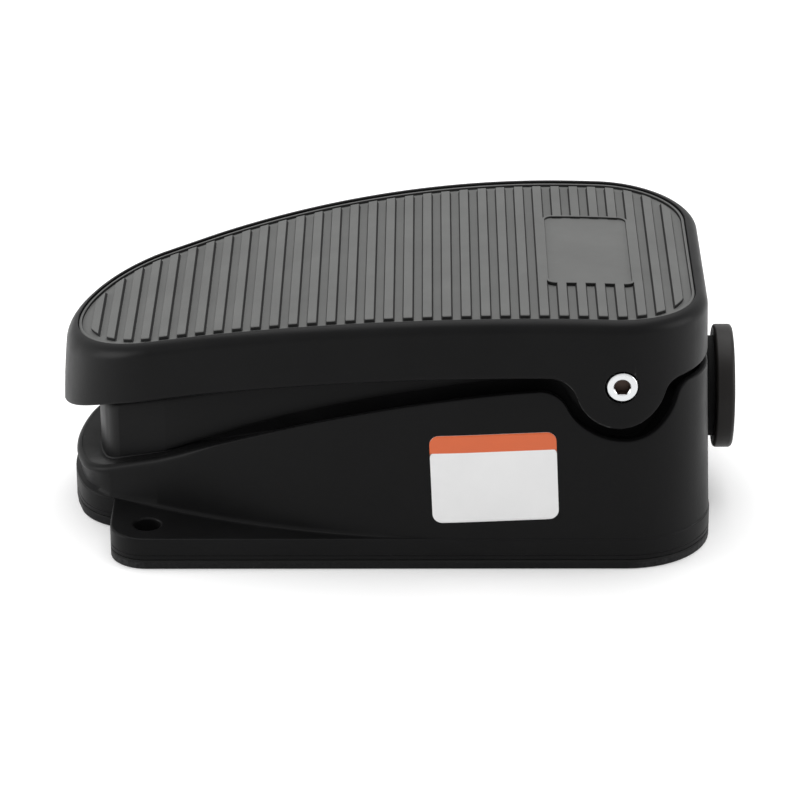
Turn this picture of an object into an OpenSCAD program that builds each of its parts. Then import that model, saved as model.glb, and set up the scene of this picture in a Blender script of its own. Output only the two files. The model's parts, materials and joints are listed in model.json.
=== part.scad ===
// Industrial foot switch: a treadle hinged near the heel, sprung up over a closed base
// that holds a snap switch. A plunger under the treadle works the switch's lever.
// Origin: middle of the underside. +X towards the heel, +Z up. Millimetres.

/* [Base] */
// Length of the base, toe to heel
base_l = 169; // [160:1:205]
// Width of the base across its flanges
base_w = 99; // [90:1:120]
// Wall thickness of the base housing
base_wall = 3.2; // [2.4:0.1:4]
// Draft of the housing's walls, in degrees
base_draft = 2; // [0:0.5:3]
// Height of the foot flange and the mounting ears
flange_h = 8.5; // [7:0.5:11]
// Radius of the heel's corners in plan
heel_r = 22.5; // [15:0.5:28]
// Radius of the blunt toe in plan
nose_r = 48; // [40:1:60]
// Radius of the corners beside the toe
nose_corner_r = 16; // [12:1:18]
// Thickness of the bottom plate
plate_t = 1.8; // [1.2:0.1:3]
// Thickness of the gasket on the bottom plate
gasket_t = 0.6; // [0.4:0.1:1.2]

/* [Mounting ears] */
// Distance from the flange's side to a mounting hole
ear_edge = 9; // [8.5:0.1:12]
// Distance from the toe to the mounting holes
ear_back = 21.6; // [20:0.2:26]
// Radius of the mounting holes
ear_hole_r = 3.55; // [2.5:0.05:4.5]

/* [Treadle] */
// Overall height at the crown of the treadle
overall_h = 69.6; // [66:0.1:84]
// How far the arched top falls from its crown to the toe
toe_drop = 21.7; // [17:0.1:25]
// Depth of the treadle's skirt below its lip
skirt_h = 15.5; // [13:0.5:17]
// Wall thickness of the treadle
treadle_wall = 3.2; // [2.4:0.1:3.6]
// Radius of the edge round the top
shoulder_r = 3; // [2:0.5:4]
// How far the treadle's toe reaches past the base
toe_overhang = 1.9; // [0:0.1:4]
// How much tighter than half the base's width the treadle's toe is curved
nose_tuck = 15; // [12:0.5:19]
// Depth of the recess that holds the tread pad
recess_h = 2; // [1.2:0.1:2.4]

/* [Tread pad] */
// Thickness of the pad's web
pad_t = 0.8; // [0.6:0.1:1.5]
// Height of the ribs
rib_h = 1; // [0.6:0.1:1.2]
// Width of each rib
rib_w = 3.05; // [2:0.05:4]
// Distance from rib to rib
rib_pitch = 4.975; // [4.2:0.025:6]
// Distance from the pad's edge to the ribs' ends
rib_margin = 2.5; // [1.5:0.1:4]
// Rib gaps that the bare panel near the heel takes up
panel_gaps = 5; // [3:1:6]
// Width of the panel
panel_w = 44.6; // [30:0.2:60]

/* [Hinge] */
// Distance from the heel's face to the hinge axis
hinge_back = 24.7; // [22:0.1:30]
// Height of the hinge axis
hinge_z = 51.8; // [50:0.1:56]
// Radius of the treadle's side lobes round the hinge
lobe_r = 11.8; // [10:0.1:13]
// Radial gap between the lobes and the base
lobe_gap = 3.8; // [1.5:0.1:4.2]
// How far the toe goes down when the treadle is pressed
press_travel = 12.74; // [8:0.02:14]
// Radius of the hinge screws' shoulder
pivot_r = 3.175; // [2.5:0.025:3.5]

/* [Actuator] */
// Distance from the hinge axis to the plunger
plunger_arm = 57.8; // [54:0.2:62]
// Radius of the plunger's rod
plunger_r = 3; // [2.5:0.1:3.5]
// Distance from the hinge axis to the return spring
spring_arm = 92; // [90:0.2:93]
// Mean radius of the return spring
spring_r = 7; // [6:0.1:7.4]
// Diameter of the return spring's wire
spring_wire = 1.8; // [1.2:0.1:2]
// Distance from the hinge axis to the stop bolt
stop_arm = 113.8; // [112:0.2:116]

/* [Conduit entry] */
// Height of the conduit entry's axis
entry_z = 29.5; // [26:0.5:32]
// Radius of the plug's disc
plug_r = 16.5; // [14:0.5:18]
// Thickness of the plug's disc
plug_t = 5.1; // [3:0.1:7]
// Radius of the threaded entry
entry_r = 10.2; // [8:0.1:11]

/* [Hidden] */
$fn = 64;
big_fn = 720;
eps = 0.01;

// Fits and gaps
seat_gap = 0.3;
running_gap = 0.05;
press_gap = 1.5;

// Levels of the base
floor_z = plate_t + gasket_t;
heel_x = base_l / 2;
toe_x = -base_l / 2;
hinge_x = heel_x - hinge_back;
ear_x = toe_x + ear_back;
ear_y = base_w / 2 - ear_edge;
ear_r = 9.8;
ear_mid_y = base_w / 2 - ear_r;
ledge_w = 5;
lip_w = 1.8;
groove_h = 3;

// The toe line, the crown and the blend between them, along the base's rim
rim_toe_z = 13.9;
rim_toe_slope = 0.217;
rim_top_z = hinge_z - 2.3;
rim_heel_z = hinge_z - 1.8;
rim_r = 242;
rim_x = hinge_x - 6.9;
edge_x = hinge_x - 20;
rim_blend = 4.2;

// Treadle
treadle_half_w = base_w / 2 + 0.3;
treadle_nose_r = base_w / 2 - nose_tuck;
treadle_heel_x = heel_x - 1.2;
treadle_toe_x = toe_x - toe_overhang;
crown_x = heel_x - 42.7;
top_r = (pow(crown_x - treadle_toe_x, 2) + toe_drop * toe_drop) / (2 * toe_drop);
top_c = [crown_x, overall_h - top_r];
press_angle = asin(press_travel / (hinge_x - treadle_toe_x));
skirt_flare = 0.7;
top_t = recess_h + treadle_wall;
toe_dip = 4;
heel_edge_z = hinge_z - 0.3;
lobe_fillet_r = 8;
heel_fillet_r = 4;
recess_inset = shoulder_r + 0.3;
pad_clear = 0.15;
rib_shift = -1.77;
border_w = 0.9;
border_h = 0.7;
panel_corner_r = 2.2;

// Conduit entry
entry_face_x = heel_x + 0.2;
seal_t = 1.7;

// Stations along the base
plunger_x = hinge_x - plunger_arm;
spring_x = hinge_x - spring_arm;
stop_x = hinge_x - stop_arm;
bumper_arm = 127;
bumper_y = 9;

// Hinge
screw_head_r = 3.97;
screw_head_h = 4.6;
counterbore_r = 4.35;
bush_r = pivot_r + 1;
bush_flange_r = pivot_r + 3.3;
bush_flange_t = 0.8;
hinge_face_y = treadle_half_w + 0.35;
hinge_boss_y = treadle_half_w - 5.2;
base_boss_y = hinge_boss_y - bush_flange_t - seat_gap;
hinge_boss_r = 9;
pivot_thread_r = 2.4;
thread_l = 9;

// Plunger stack, from the treadle downwards
tip_z = hinge_z + 3.2;
head_r = 6.5;
head_t = 2;
head_z = tip_z - seat_gap - head_t;
guide_z = hinge_z - 6.7;
guide_r = 4.95;
guide_flange_r = 6.5;
guide_flange_t = 1;
guide_l = 5;
well_t = 3;
well_wall = 2.4;
plunger_well_r = 9;
rod_end_z = hinge_z - 15.8;
ring_t = 0.8;
ring_groove_r = 2.3;
screw_r = 2.5;
nut_r = 4.6;
nut_t = 2.7;
nut_z = tip_z + 1.6;
actuator_boss_r = 6;

// Wells for the return spring and the stop bolt
spring_floor_z = hinge_z - 16.8;
spring_well_r = 9.6;
stop_floor_z = hinge_z - 14.8;
stop_well_r = 8;
stop_hole_r = 4.6;
stop_boss_r = 5.5;
stop_boss_h = 4.2;
spring_stub_h = 4;
stop_shank_r = 2.5;
stop_head_r = 4.5;
stop_head_t = 3;
washer_t = 1.5;

// Snap switch
switch_l = 27.8;
switch_w = 10.3;
switch_h = 15.9;
lever_arm = 20;
lever_rise = 15;
lever_t = 0.6;
lever_w = 6;
lever_l = 24;
lever_pin_r = 0.8;
lever_eye_r = 1.45;
pivot_up = 1.7;
button_arm = 5.6;
button_r = 1.5;
lever_x = plunger_x - lever_arm;
rod_above_pivot = (lever_t + plunger_r + seat_gap + lever_arm * sin(lever_rise))
    / cos(lever_rise);
lever_z = rod_end_z + plunger_r - rod_above_pivot;
switch_top_z = lever_z - pivot_up;
switch_x = lever_x - 3;
mount_r = 1.5;
mount_x = [3, 25.2];
mount_up = 2.9;
bracket_t = 1.6;
bracket_y = switch_w / 2 + 0.1;
bracket_foot = 16;
bracket_z = hinge_z - 13.8;
bracket_screw_y = bracket_y + 10;
bracket_screw_x = [switch_x + 4, switch_x + 23.8];

// Screws that hold the bottom plate
plate_screw_r = 1.75;
plate_screw_l = 11;
plate_head_r = 3.4;
plate_boss_r = 4.6;
plate_boss_h = 16;
plate_boss_inset = 7;
plate_screw_x = [heel_x - 12.5, heel_x - 78, toe_x + 33];

// Earth screw on its post under the roof
earth_at = [hinge_x - 4, -20];
earth_post_r = 5;
earth_z = hinge_z - 11.8;
earth_head_r = 3.6;

// Colours
housing_black = "#1d1e20";
steel = "#b9bcc0";
zinc = "#9a9da3";

// ---- Outlines ------------------------------------------------------------------------

// Arcs [centre x, centre y, radius, first angle, last angle, steps] of one side of a plan
// outline: blunt toe, toe corner, long side and heel corner, each tangent to the next
function plan_arcs(toe, tip_r, corner_r, corner_y, side_x, side_r, half_w, back_r, heel) =
    let (
        corner_x = toe + tip_r - sqrt(pow(tip_r - corner_r, 2) - corner_y * corner_y),
        tip_a = 180 - asin(corner_y / (tip_r - corner_r)),
        dx = side_x - corner_x,
        dy = half_w - side_r - corner_y,
        side_a = atan2(dy, dx) + acos((corner_r - side_r) / norm([dx, dy]))
    ) [
        [toe + tip_r, 0, tip_r, 180, tip_a, 3],
        [corner_x, corner_y, corner_r, tip_a, side_a, 12],
        [side_x, half_w - side_r, side_r, side_a, 90, 12],
        [heel - back_r, half_w - back_r, back_r, 90, 0, 14]
    ];

// Side radius that meets the toe corner without a straight between them
function full_side_r(toe, tip_r, corner_r, corner_y, side_x, half_w) =
    let (
        corner_x = toe + tip_r - sqrt(pow(tip_r - corner_r, 2) - corner_y * corner_y),
        dx = side_x - corner_x,
        h = half_w - corner_y
    )
    0.98 * (dx * dx + h * h - corner_r * corner_r) / (2 * (h - corner_r));

function arc_points(arc, inset) = [
    for (i = [0:arc[5]])
        let (a = arc[3] + (arc[4] - arc[3]) * i / arc[5])
        [arc[0] + (arc[2] - inset) * cos(a), arc[1] + (arc[2] - inset) * sin(a)]
];

function half_outline(arcs, inset) = [
    for (k = [0:len(arcs) - 1])
        let (points = arc_points(arcs[k], inset), first = k == 0 || k == 3 ? 0 : 1)
        for (i = [first:len(points) - 1]) points[i]
];

function outline(arcs, inset) =
    let (half = half_outline(arcs, inset), n = len(half))
    concat(half, [for (i = [n - 1:-1:1]) [half[i][0], -half[i][1]]]);

// Half-width of an outline at a place along it
function side_at(arcs, inset, x) =
    let (half = half_outline(arcs, inset))
    max([0, for (i = [0:len(half) - 2])
        if (half[i][0] <= x && x < half[i + 1][0])
            half[i][1] + (half[i + 1][1] - half[i][1]) * (x - half[i][0])
                / (half[i + 1][0] - half[i][0])]);

base_side_x = heel_x - 62.5;
base_corner_y = base_w / 2 - 39.2;
base_arcs = plan_arcs(
    toe_x, nose_r, nose_corner_r, base_corner_y, base_side_x,
    full_side_r(toe_x, nose_r, nose_corner_r, base_corner_y, base_side_x, base_w / 2),
    base_w / 2, heel_r, heel_x);
treadle_corner_r = treadle_nose_r - 1;
treadle_corner_y = 0.3;
treadle_side_x = hinge_x - 13;
treadle_arcs = plan_arcs(
    treadle_toe_x, treadle_nose_r, treadle_corner_r, treadle_corner_y, treadle_side_x,
    full_side_r(treadle_toe_x, treadle_nose_r, treadle_corner_r, treadle_corner_y,
                treadle_side_x, treadle_half_w),
    treadle_half_w, heel_r - 1, treadle_heel_x);

// Height of the treadle's arched top
function top_z(x) = top_c[1] + sqrt(top_r * top_r - pow(x - top_c[0], 2));

// Lower edge of the treadle's skirt, which dips a little round the toe
function skirt_z(x) =
    let (dip = max(0, (treadle_toe_x + 18 - x) / 18))
    top_z(x) - skirt_h - toe_dip * dip * dip;

// A point of the side view, [x, z], turned with the fully pressed treadle
function pressed(p) =
    let (dx = p[0] - hinge_x, dz = p[1] - hinge_z, c = cos(press_angle), s = sin(press_angle))
    [hinge_x + dx * c - dz * s, hinge_z + dx * s + dz * c];

// Rim of the base: a straight rise from the toe that blends into the crown
function crown_z(x) = x > rim_x ? rim_top_z
    : rim_top_z - rim_r + sqrt(max(0, rim_r * rim_r - pow(x - rim_x, 2)));
function rim_z(x) =
    let (toe = rim_toe_z + rim_toe_slope * (x - toe_x), crown = crown_z(x))
    (toe + crown + sqrt(pow(toe - crown, 2) + rim_blend * rim_blend)) / 2;

// The groove beside the rim starts at the ledge of the toe and deepens towards the heel
function groove_z(x) = rim_z(x) - groove_h * min(1, max(0, (x - toe_x - 30) / 30));

// ---- Shapes that repeat ----------------------------------------------------------------

// Solid through closed rings of points, listed from the top down
module loft(rings) {
    n = len(rings[0]);
    half = (n + 1) / 2;
    last = (len(rings) - 1) * n;
    top = concat([[0, 1, n - 1]], [for (i = [1:half - 2]) [i, i + 1, n - i - 1, n - i]]);
    bottom = [for (face = top) [for (i = [len(face) - 1:-1:0]) face[i] + last]];
    sides = [
        for (k = [0:len(rings) - 2], i = [0:n - 1])
            let (u = k * n, l = u + n, j = (i + 1) % n)
            each [[u + j, u + i, l + i], [u + j, l + i, l + j]]
    ];
    polyhedron(points = [for (ring = rings) each ring], faces = concat(top, bottom, sides));
}

function flat_ring(arcs, inset, z) = [for (p = outline(arcs, inset)) [p[0], p[1], z]];

// The base's outline drawn up with the housing's draft
module drafted(inset, low, high) {
    lean = tan(base_draft);
    loft([flat_ring(base_arcs, inset + (high - floor_z) * lean, high),
          flat_ring(base_arcs, inset + (low - floor_z) * lean, low)]);
}

// A side view, X across and Z up, drawn across the whole width
module across(w = 140) {
    rotate([90, 0, 0])
        linear_extrude(w, center = true)
            children();
}

// A round along Y from y0 to y1
module y_rod(r, y0, y1) {
    translate([0, y1, 0])
        rotate([90, 0, 0])
            cylinder(r = r, h = y1 - y0);
}

// Half of a hinge lobe's root: fills the corner between the lobe and the edge beside it
module lobe_root(r, edge_z, fillet_r, side) {
    drop = hinge_z - edge_z + fillet_r;
    reach = sqrt(pow(r + fillet_r, 2) - drop * drop);
    centre = [hinge_x + side * reach, edge_z - fillet_r];
    difference() {
        polygon([[hinge_x, hinge_z], centre, centre + [0, fillet_r],
                 [hinge_x, max(edge_z, hinge_z) + eps]]);
        translate(centre)
            circle(r = fillet_r);
    }
}

// Side view of a hinge lobe that runs into the edges on its left and right
module lobe(r, left_z, right_z) {
    translate([hinge_x, hinge_z])
        circle(r = r);
    lobe_root(r, left_z, lobe_fillet_r, -1);
    lobe_root(r, right_z, heel_fillet_r, 1);
}

// Side view of all that lies a gap below the treadle's underside, pressed or not
module under_treadle(gap) {
    intersection() {
        translate(top_c)
            circle(r = top_r - top_t - gap, $fn = big_fn);
        translate(pressed(top_c))
            circle(r = top_r - top_t - gap, $fn = big_fn);
    }
}

// Side view below an edge that follows f(x) from the toe to the hinge and is level behind it
module below_rim(drop, grooved) {
    steps = 36;
    x0 = toe_x - 2;
    side = [
        for (i = [0:steps])
            let (x = x0 + (edge_x - x0) * i / steps)
            [x, (grooved ? groove_z(x) : rim_z(x)) - drop]
    ];
    edge = side[steps][1];
    heel = rim_heel_z - drop - (grooved ? groove_h : 0);
    difference() {
        polygon(concat([[x0, 0]], side, [[hinge_x, edge], [hinge_x, heel],
                       [heel_x + 2, heel], [heel_x + 2, 0]]));
        lobe(lobe_r + lobe_gap + drop + (grooved ? groove_h / 2 : 0), edge, heel);
    }
}

// A well let into the roof: the tube with its floor, and the hollow inside it
module well_body(x, r, floor) {
    translate([x, 0, floor - well_t])
        cylinder(r = r + well_wall, h = 60);
}
module well_hollow(x, r, floor, hole_r) {
    translate([x, 0, floor])
        cylinder(r = r, h = 60);
    translate([x, 0, floor - well_t - 1])
        cylinder(r = hole_r, h = well_t + 2);
}

// Places its children on both sides of the middle plane
module both_sides() {
    children();
    mirror([0, 1, 0])
        children();
}

// ---- Base ------------------------------------------------------------------------------

// The foot: a step round the body's outline, with straight flanges and two ears, h thick
module foot(h) {
    linear_extrude(h)
        polygon(outline(base_arcs, 0));
    translate([ear_x, -base_w / 2, 0])
        cube([base_arcs[2][0] - ear_x, base_w, h]);
    translate([ear_x - ear_r, -ear_mid_y, 0])
        cube([ear_r + 1, 2 * ear_mid_y, h]);
    both_sides()
        translate([ear_x, ear_mid_y, 0])
            cylinder(r = ear_r, h = h);
}

module ear_holes() {
    both_sides()
        translate([ear_x, ear_y, -1])
            cylinder(r = ear_hole_r, h = flange_h + 2);
}

// Places its children at the screws that hold the bottom plate
module at_plate_screws() {
    both_sides()
        for (x = plate_screw_x)
            translate([x, side_at(base_arcs, plate_boss_inset, x), 0])
                children();
}

module base_shell() {
    translate([0, 0, floor_z])
        foot(flange_h - floor_z);
    difference() {
        intersection() {
            drafted(0, floor_z, rim_top_z + 2);
            across()
                below_rim(0, false);
        }
        difference() {
            drafted(lip_w, floor_z + 1, rim_top_z + 5);
            across()
                below_rim(0, true);
        }
    }
    intersection() {
        drafted(ledge_w, floor_z + 1, overall_h);
        across()
            under_treadle(press_gap);
    }
}

module base_cavity() {
    intersection() {
        drafted(base_wall, floor_z - 1, rim_top_z);
        across()
            below_rim(base_wall, true);
    }
    intersection() {
        drafted(ledge_w + base_wall, floor_z - 1, overall_h);
        across()
            under_treadle(press_gap + base_wall);
    }
}

module base_housing() {
    color(housing_black)
    difference() {
        union() {
            difference() {
                base_shell();
                base_cavity();
            }
            // Wells, bosses and posts stand inside the shell's outer form
            intersection() {
                union() {
                    well_body(plunger_x, plunger_well_r, guide_z);
                    well_body(spring_x, spring_well_r, spring_floor_z);
                    well_body(stop_x, stop_well_r, stop_floor_z);
                    for (x = bracket_screw_x)
                        translate([x, bracket_screw_y, bracket_z])
                            cylinder(r = 4.6, h = 30);
                    translate([earth_at[0], earth_at[1], earth_z])
                        cylinder(r = earth_post_r, h = 30);
                }
                across()
                    under_treadle(press_gap);
            }
            at_plate_screws()
                translate([0, 0, floor_z])
                    cylinder(r = plate_boss_r, h = plate_boss_h);
            both_sides()
                translate([hinge_x, 0, hinge_z])
                    y_rod(hinge_boss_r - 2, base_boss_y - 13, base_boss_y);
            translate([heel_x - 6, 0, entry_z])
                rotate([0, 90, 0])
                    cylinder(r = entry_r + 4, h = entry_face_x - heel_x + 6);
        }
        well_hollow(plunger_x, plunger_well_r, guide_z, guide_r);
        well_hollow(spring_x, spring_well_r, spring_floor_z, 2);
        well_hollow(stop_x, stop_well_r, stop_floor_z, stop_hole_r);
        for (x = bracket_screw_x)
            translate([x, bracket_screw_y, bracket_z - 1])
                cylinder(r = 1.75, h = 9);
        translate([earth_at[0], earth_at[1], earth_z - 1])
            cylinder(r = 2, h = 10);
        at_plate_screws()
            translate([0, 0, floor_z - 1])
                cylinder(r = plate_screw_r, h = plate_screw_l + 1);
        both_sides() {
            translate([hinge_x, 0, hinge_z])
                y_rod(pivot_thread_r, base_boss_y - thread_l - 1, base_boss_y + 1);
            bumper_place()
                translate([0, 0, -10])
                    cylinder(r = 2, h = 20);
        }
        ear_holes();
        translate([heel_x - 12, 0, entry_z])
            rotate([0, 90, 0])
                cylinder(r = entry_r, h = 20);
    }
}

module bottom_plate() {
    color(housing_black)
    difference() {
        foot(plate_t);
        ear_holes();
        at_plate_screws()
            plate_screw_form(0.1);
    }
}

module base_gasket() {
    color("#101010")
    translate([0, 0, plate_t])
        difference() {
            union() {
                difference() {
                    foot(gasket_t);
                    translate([0, 0, -1])
                        linear_extrude(gasket_t + 2)
                            polygon(outline(base_arcs, base_wall));
                }
                at_plate_screws()
                    cylinder(r = plate_boss_r, h = gasket_t);
            }
            ear_holes();
            at_plate_screws()
                translate([0, 0, -1])
                    cylinder(r = plate_screw_r + 0.2, h = gasket_t + 2);
        }
}

// Countersunk screw from the underside, larger all round by a clearance
module plate_screw_form(clear) {
    translate([0, 0, -eps])
        cylinder(r1 = plate_head_r + clear, r2 = plate_screw_r + clear, h = plate_t);
    cylinder(r = plate_screw_r - 0.05 + clear, h = clear > 0 ? plate_t + 1 : plate_screw_l);
}

module plate_screws() {
    color(steel)
    at_plate_screws()
        translate([0, 0, 0.05])
            plate_screw_form(0);
}

module conduit_plug() {
    color("#161412")
    translate([entry_face_x + seal_t, 0, entry_z])
        rotate([0, 90, 0]) {
            rotate_extrude()
                polygon([[0, 0], [plug_r - 0.8, 0], [plug_r, 0.8], [plug_r, plug_t - 0.8],
                         [plug_r - 0.8, plug_t], [0, plug_t]]);
            translate([0, 0, -11])
                cylinder(r = entry_r - 0.05, h = 11 + eps);
        }
}

module plug_seal() {
    color("#0c0c0c")
    translate([entry_face_x, 0, entry_z])
        rotate([0, 90, 0])
            difference() {
                cylinder(r = entry_r + 3.2, h = seal_t);
                translate([0, 0, -1])
                    cylinder(r = entry_r, h = 4);
            }
}

// ---- Hinge -----------------------------------------------------------------------------

module hinge_screws() {
    head_y = hinge_face_y - screw_head_h - 0.3;
    color("#d4d6d8")
    both_sides()
        translate([hinge_x, 0, hinge_z])
            difference() {
                union() {
                    y_rod(screw_head_r, head_y, head_y + screw_head_h);
                    y_rod(pivot_r, base_boss_y, head_y + eps);
                    y_rod(pivot_thread_r - 0.05, base_boss_y - thread_l, base_boss_y + eps);
                }
                y_rod(2.25, head_y + screw_head_h - 2.5, head_y + screw_head_h + 1, $fn = 6);
            }
}

module hinge_bushes() {
    head_y = hinge_face_y - screw_head_h - 0.3;
    color("#e6e2d6")
    both_sides()
        translate([hinge_x, 0, hinge_z])
            difference() {
                union() {
                    y_rod(bush_r, hinge_boss_y - eps, head_y - 0.1);
                    y_rod(bush_flange_r, hinge_boss_y - bush_flange_t, hinge_boss_y);
                }
                y_rod(pivot_r + running_gap, hinge_boss_y - 3, hinge_face_y);
            }
}

// ---- Treadle ---------------------------------------------------------------------------

function top_ring(inset, drop) = [
    for (p = outline(treadle_arcs, inset)) [p[0], p[1], top_z(p[0]) - drop]
];

module treadle_form() {
    low = hinge_z - lobe_r - 2;
    loft(concat(
        [for (a = [0:22.5:90]) top_ring(shoulder_r * (1 - sin(a)), shoulder_r * (1 - cos(a)))],
        [flat_ring(treadle_arcs, -skirt_flare, min(low, skirt_z(treadle_toe_x) - 2))]
    ));
}

// Side view of the treadle above its skirt's edge, with the hinge lobes
module treadle_side() {
    steps = 32;
    x0 = treadle_toe_x - 2;
    edge = [for (i = [0:steps]) let (x = x0 + (edge_x - x0) * i / steps) [x, skirt_z(x)]];
    polygon(concat(
        [[x0, overall_h + 5]], edge,
        [[hinge_x, edge[steps][1]], [hinge_x, heel_edge_z], [heel_x + 2, heel_edge_z],
         [heel_x + 2, overall_h + 5]]
    ));
    lobe(lobe_r, edge[steps][1], heel_edge_z);
}

// All above a level that follows the arched top
module above_top(drop) {
    difference() {
        translate([-base_l, 0])
            square([2 * base_l, overall_h + 20]);
        translate(top_c)
            circle(r = top_r - drop, $fn = big_fn);
    }
}

module treadle() {
    color(housing_black)
    difference() {
        union() {
            difference() {
                intersection() {
                    treadle_form();
                    across()
                        treadle_side();
                }
                intersection() {
                    linear_extrude(overall_h + 10)
                        polygon(outline(treadle_arcs, treadle_wall));
                    across()
                        translate(top_c)
                            circle(r = top_r - top_t, $fn = big_fn);
                }
            }
            both_sides()
                translate([hinge_x, 0, hinge_z])
                    y_rod(hinge_boss_r, hinge_boss_y, treadle_half_w - treadle_wall + 0.2);
            intersection() {
                union() {
                    translate([plunger_x, 0, nut_z + nut_t + 0.2])
                        cylinder(r = actuator_boss_r, h = 20);
                    translate([spring_x, 0, top_z(spring_x) - top_t - spring_stub_h])
                        cylinder(r = spring_r - spring_wire / 2 - 0.9, h = 20);
                    translate([stop_x, 0, top_z(stop_x) - top_t - stop_boss_h])
                        cylinder(r = stop_boss_r, h = 20);
                }
                across()
                    translate(top_c)
                        circle(r = top_r - recess_h - 1, $fn = big_fn);
            }
        }
        intersection() {
            linear_extrude(overall_h + 10)
                polygon(outline(treadle_arcs, recess_inset));
            across()
                above_top(recess_h);
        }
        both_sides()
            translate([hinge_x, 0, hinge_z]) {
                y_rod(bush_r + 0.02, hinge_boss_y - 1, treadle_half_w + 3);
                y_rod(counterbore_r, hinge_face_y - screw_head_h - 0.4, treadle_half_w + 3);
            }
        translate([plunger_x, 0, tip_z])
            cylinder(r = screw_r + 0.02, h = top_z(plunger_x) - recess_h - 0.6 - tip_z);
        translate([stop_x, 0, stop_floor_z])
            cylinder(r = stop_shank_r + 0.02, h = top_z(stop_x) - recess_h - 0.6 - stop_floor_z);
    }
}

// Turns its children about the centre of the arched top, to stand on it an arc length away
// from the crown
module on_top(arc_l) {
    translate([top_c[0], 0, top_c[1]])
        rotate([0, arc_l / top_r * 180 / PI, 0])
            children();
}

// A slab that follows the arch between two radii, inset from the treadle's outline
module pad_slab(inset, inner_r, outer_r) {
    intersection() {
        linear_extrude(overall_h + 10)
            polygon(outline(treadle_arcs, inset));
        across()
            difference() {
                translate(top_c)
                    circle(r = outer_r, $fn = big_fn);
                translate(top_c)
                    circle(r = inner_r, $fn = big_fn);
            }
    }
}

// A block with rounded upright edges, centred across and along
module rounded_block(l, w, r, z0, z1) {
    for (side = [[l - 2 * r, w], [l, w - 2 * r]])
        translate([-side[0] / 2, -side[1] / 2, z0])
            cube([side[0], side[1], z1 - z0]);
    for (x = [-1, 1], y = [-1, 1])
        translate([x * (l / 2 - r), y * (w / 2 - r), z0])
            cylinder(r = r, h = z1 - z0);
}

module tread_pad() {
    edge = recess_inset + pad_clear;
    web_r = top_r - recess_h + pad_t;
    ribs_in = edge + rib_margin;
    front = floor((crown_x + rib_shift - treadle_toe_x - ribs_in) / rib_pitch) + 1;
    back = floor((treadle_heel_x - crown_x - rib_shift - ribs_in) / rib_pitch);
    panel_l = panel_gaps * rib_pitch - rib_w;
    panel_at = rib_shift + panel_gaps * rib_pitch / 2;
    color("#2b2c2e") {
        // Web with a raised border
        difference() {
            pad_slab(edge, top_r - recess_h + 0.02, web_r + border_h);
            pad_slab(edge + border_w, web_r, web_r + 5);
        }
        // Ribs that end along the pad's outline and stop at the panel
        difference() {
            intersection() {
                linear_extrude(overall_h + 10)
                    polygon(outline(treadle_arcs, ribs_in));
                union()
                    for (i = [-front:back])
                        on_top(rib_shift + i * rib_pitch)
                            translate([-rib_w / 2, -base_w / 2, web_r - 0.3])
                                cube([rib_w, base_w, rib_h + 0.3]);
            }
            on_top(panel_at)
                translate([0.5 - panel_l / 2, 1 - panel_w / 2, web_r - 1])
                    cube([panel_l - 1, panel_w - 2, rib_h + 3]);
        }
        // Sunk panel in a frame as high as the ribs
        on_top(panel_at)
            difference() {
                rounded_block(panel_l + 0.1, panel_w, 1, web_r - 0.4, web_r + rib_h);
                rounded_block(panel_l - 1.4, panel_w - 1.4, panel_corner_r, web_r + 0.4,
                              web_r + rib_h + 1);
            }
    }
}

module actuator_screw() {
    color(steel)
    translate([plunger_x, 0, tip_z])
        union() {
            translate([0, 0, 0.5])
                cylinder(r = screw_r, h = top_z(plunger_x) - recess_h - 0.9 - tip_z - 0.5);
            cylinder(r1 = screw_r - 0.7, r2 = screw_r, h = 0.5);
        }
}

module lock_nut() {
    color(zinc)
    translate([plunger_x, 0, nut_z])
        difference() {
            cylinder(r = nut_r, h = nut_t, $fn = 6);
            translate([0, 0, -1])
                cylinder(r = screw_r + 0.05, h = nut_t + 2);
        }
}

module stop_bolt() {
    head = stop_floor_z - well_t - seat_gap - washer_t - 0.1 - stop_head_t;
    color(steel)
    translate([stop_x, 0, head])
        union() {
            cylinder(r = stop_head_r, h = stop_head_t);
            cylinder(r = stop_shank_r, h = top_z(stop_x) - recess_h - 0.9 - head);
        }
}

module stop_washer() {
    color("#141414")
    translate([stop_x, 0, stop_floor_z - well_t - seat_gap - washer_t])
        difference() {
            cylinder(r = stop_well_r - 1, h = washer_t);
            translate([0, 0, -1])
                cylinder(r = stop_shank_r + 0.05, h = washer_t + 2);
        }
}

// ---- Plunger, spring and stops -----------------------------------------------------------

module plunger_guide() {
    color("#c9b26a")
    translate([plunger_x, 0, guide_z - guide_l])
        difference() {
            union() {
                cylinder(r = guide_r - 0.02, h = guide_l + eps);
                translate([0, 0, guide_l])
                    cylinder(r = guide_flange_r, h = guide_flange_t);
            }
            translate([0, 0, -1])
                cylinder(r = plunger_r + running_gap, h = guide_l + 4);
        }
}

module plunger_seal() {
    color("#131313")
    translate([plunger_x, 0, guide_z + guide_flange_t])
        difference() {
            cylinder(r = guide_flange_r - 0.5, h = 0.9);
            translate([0, 0, -1])
                cylinder(r = plunger_r + 0.1, h = 3);
        }
}

module plunger() {
    ring_z = guide_z - guide_l - seat_gap - ring_t;
    color("#d9d5c8")
    translate([plunger_x, 0, 0])
        difference() {
            union() {
                translate([0, 0, rod_end_z + plunger_r]) {
                    sphere(r = plunger_r);
                    cylinder(r = plunger_r, h = head_z - rod_end_z - plunger_r + eps);
                }
                translate([0, 0, head_z])
                    cylinder(r = head_r, h = head_t);
            }
            translate([0, 0, ring_z - 0.05])
                difference() {
                    cylinder(r = plunger_r + 1, h = ring_t + 0.1);
                    translate([0, 0, -1])
                        cylinder(r = ring_groove_r, h = ring_t + 2);
                }
        }
}

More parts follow.
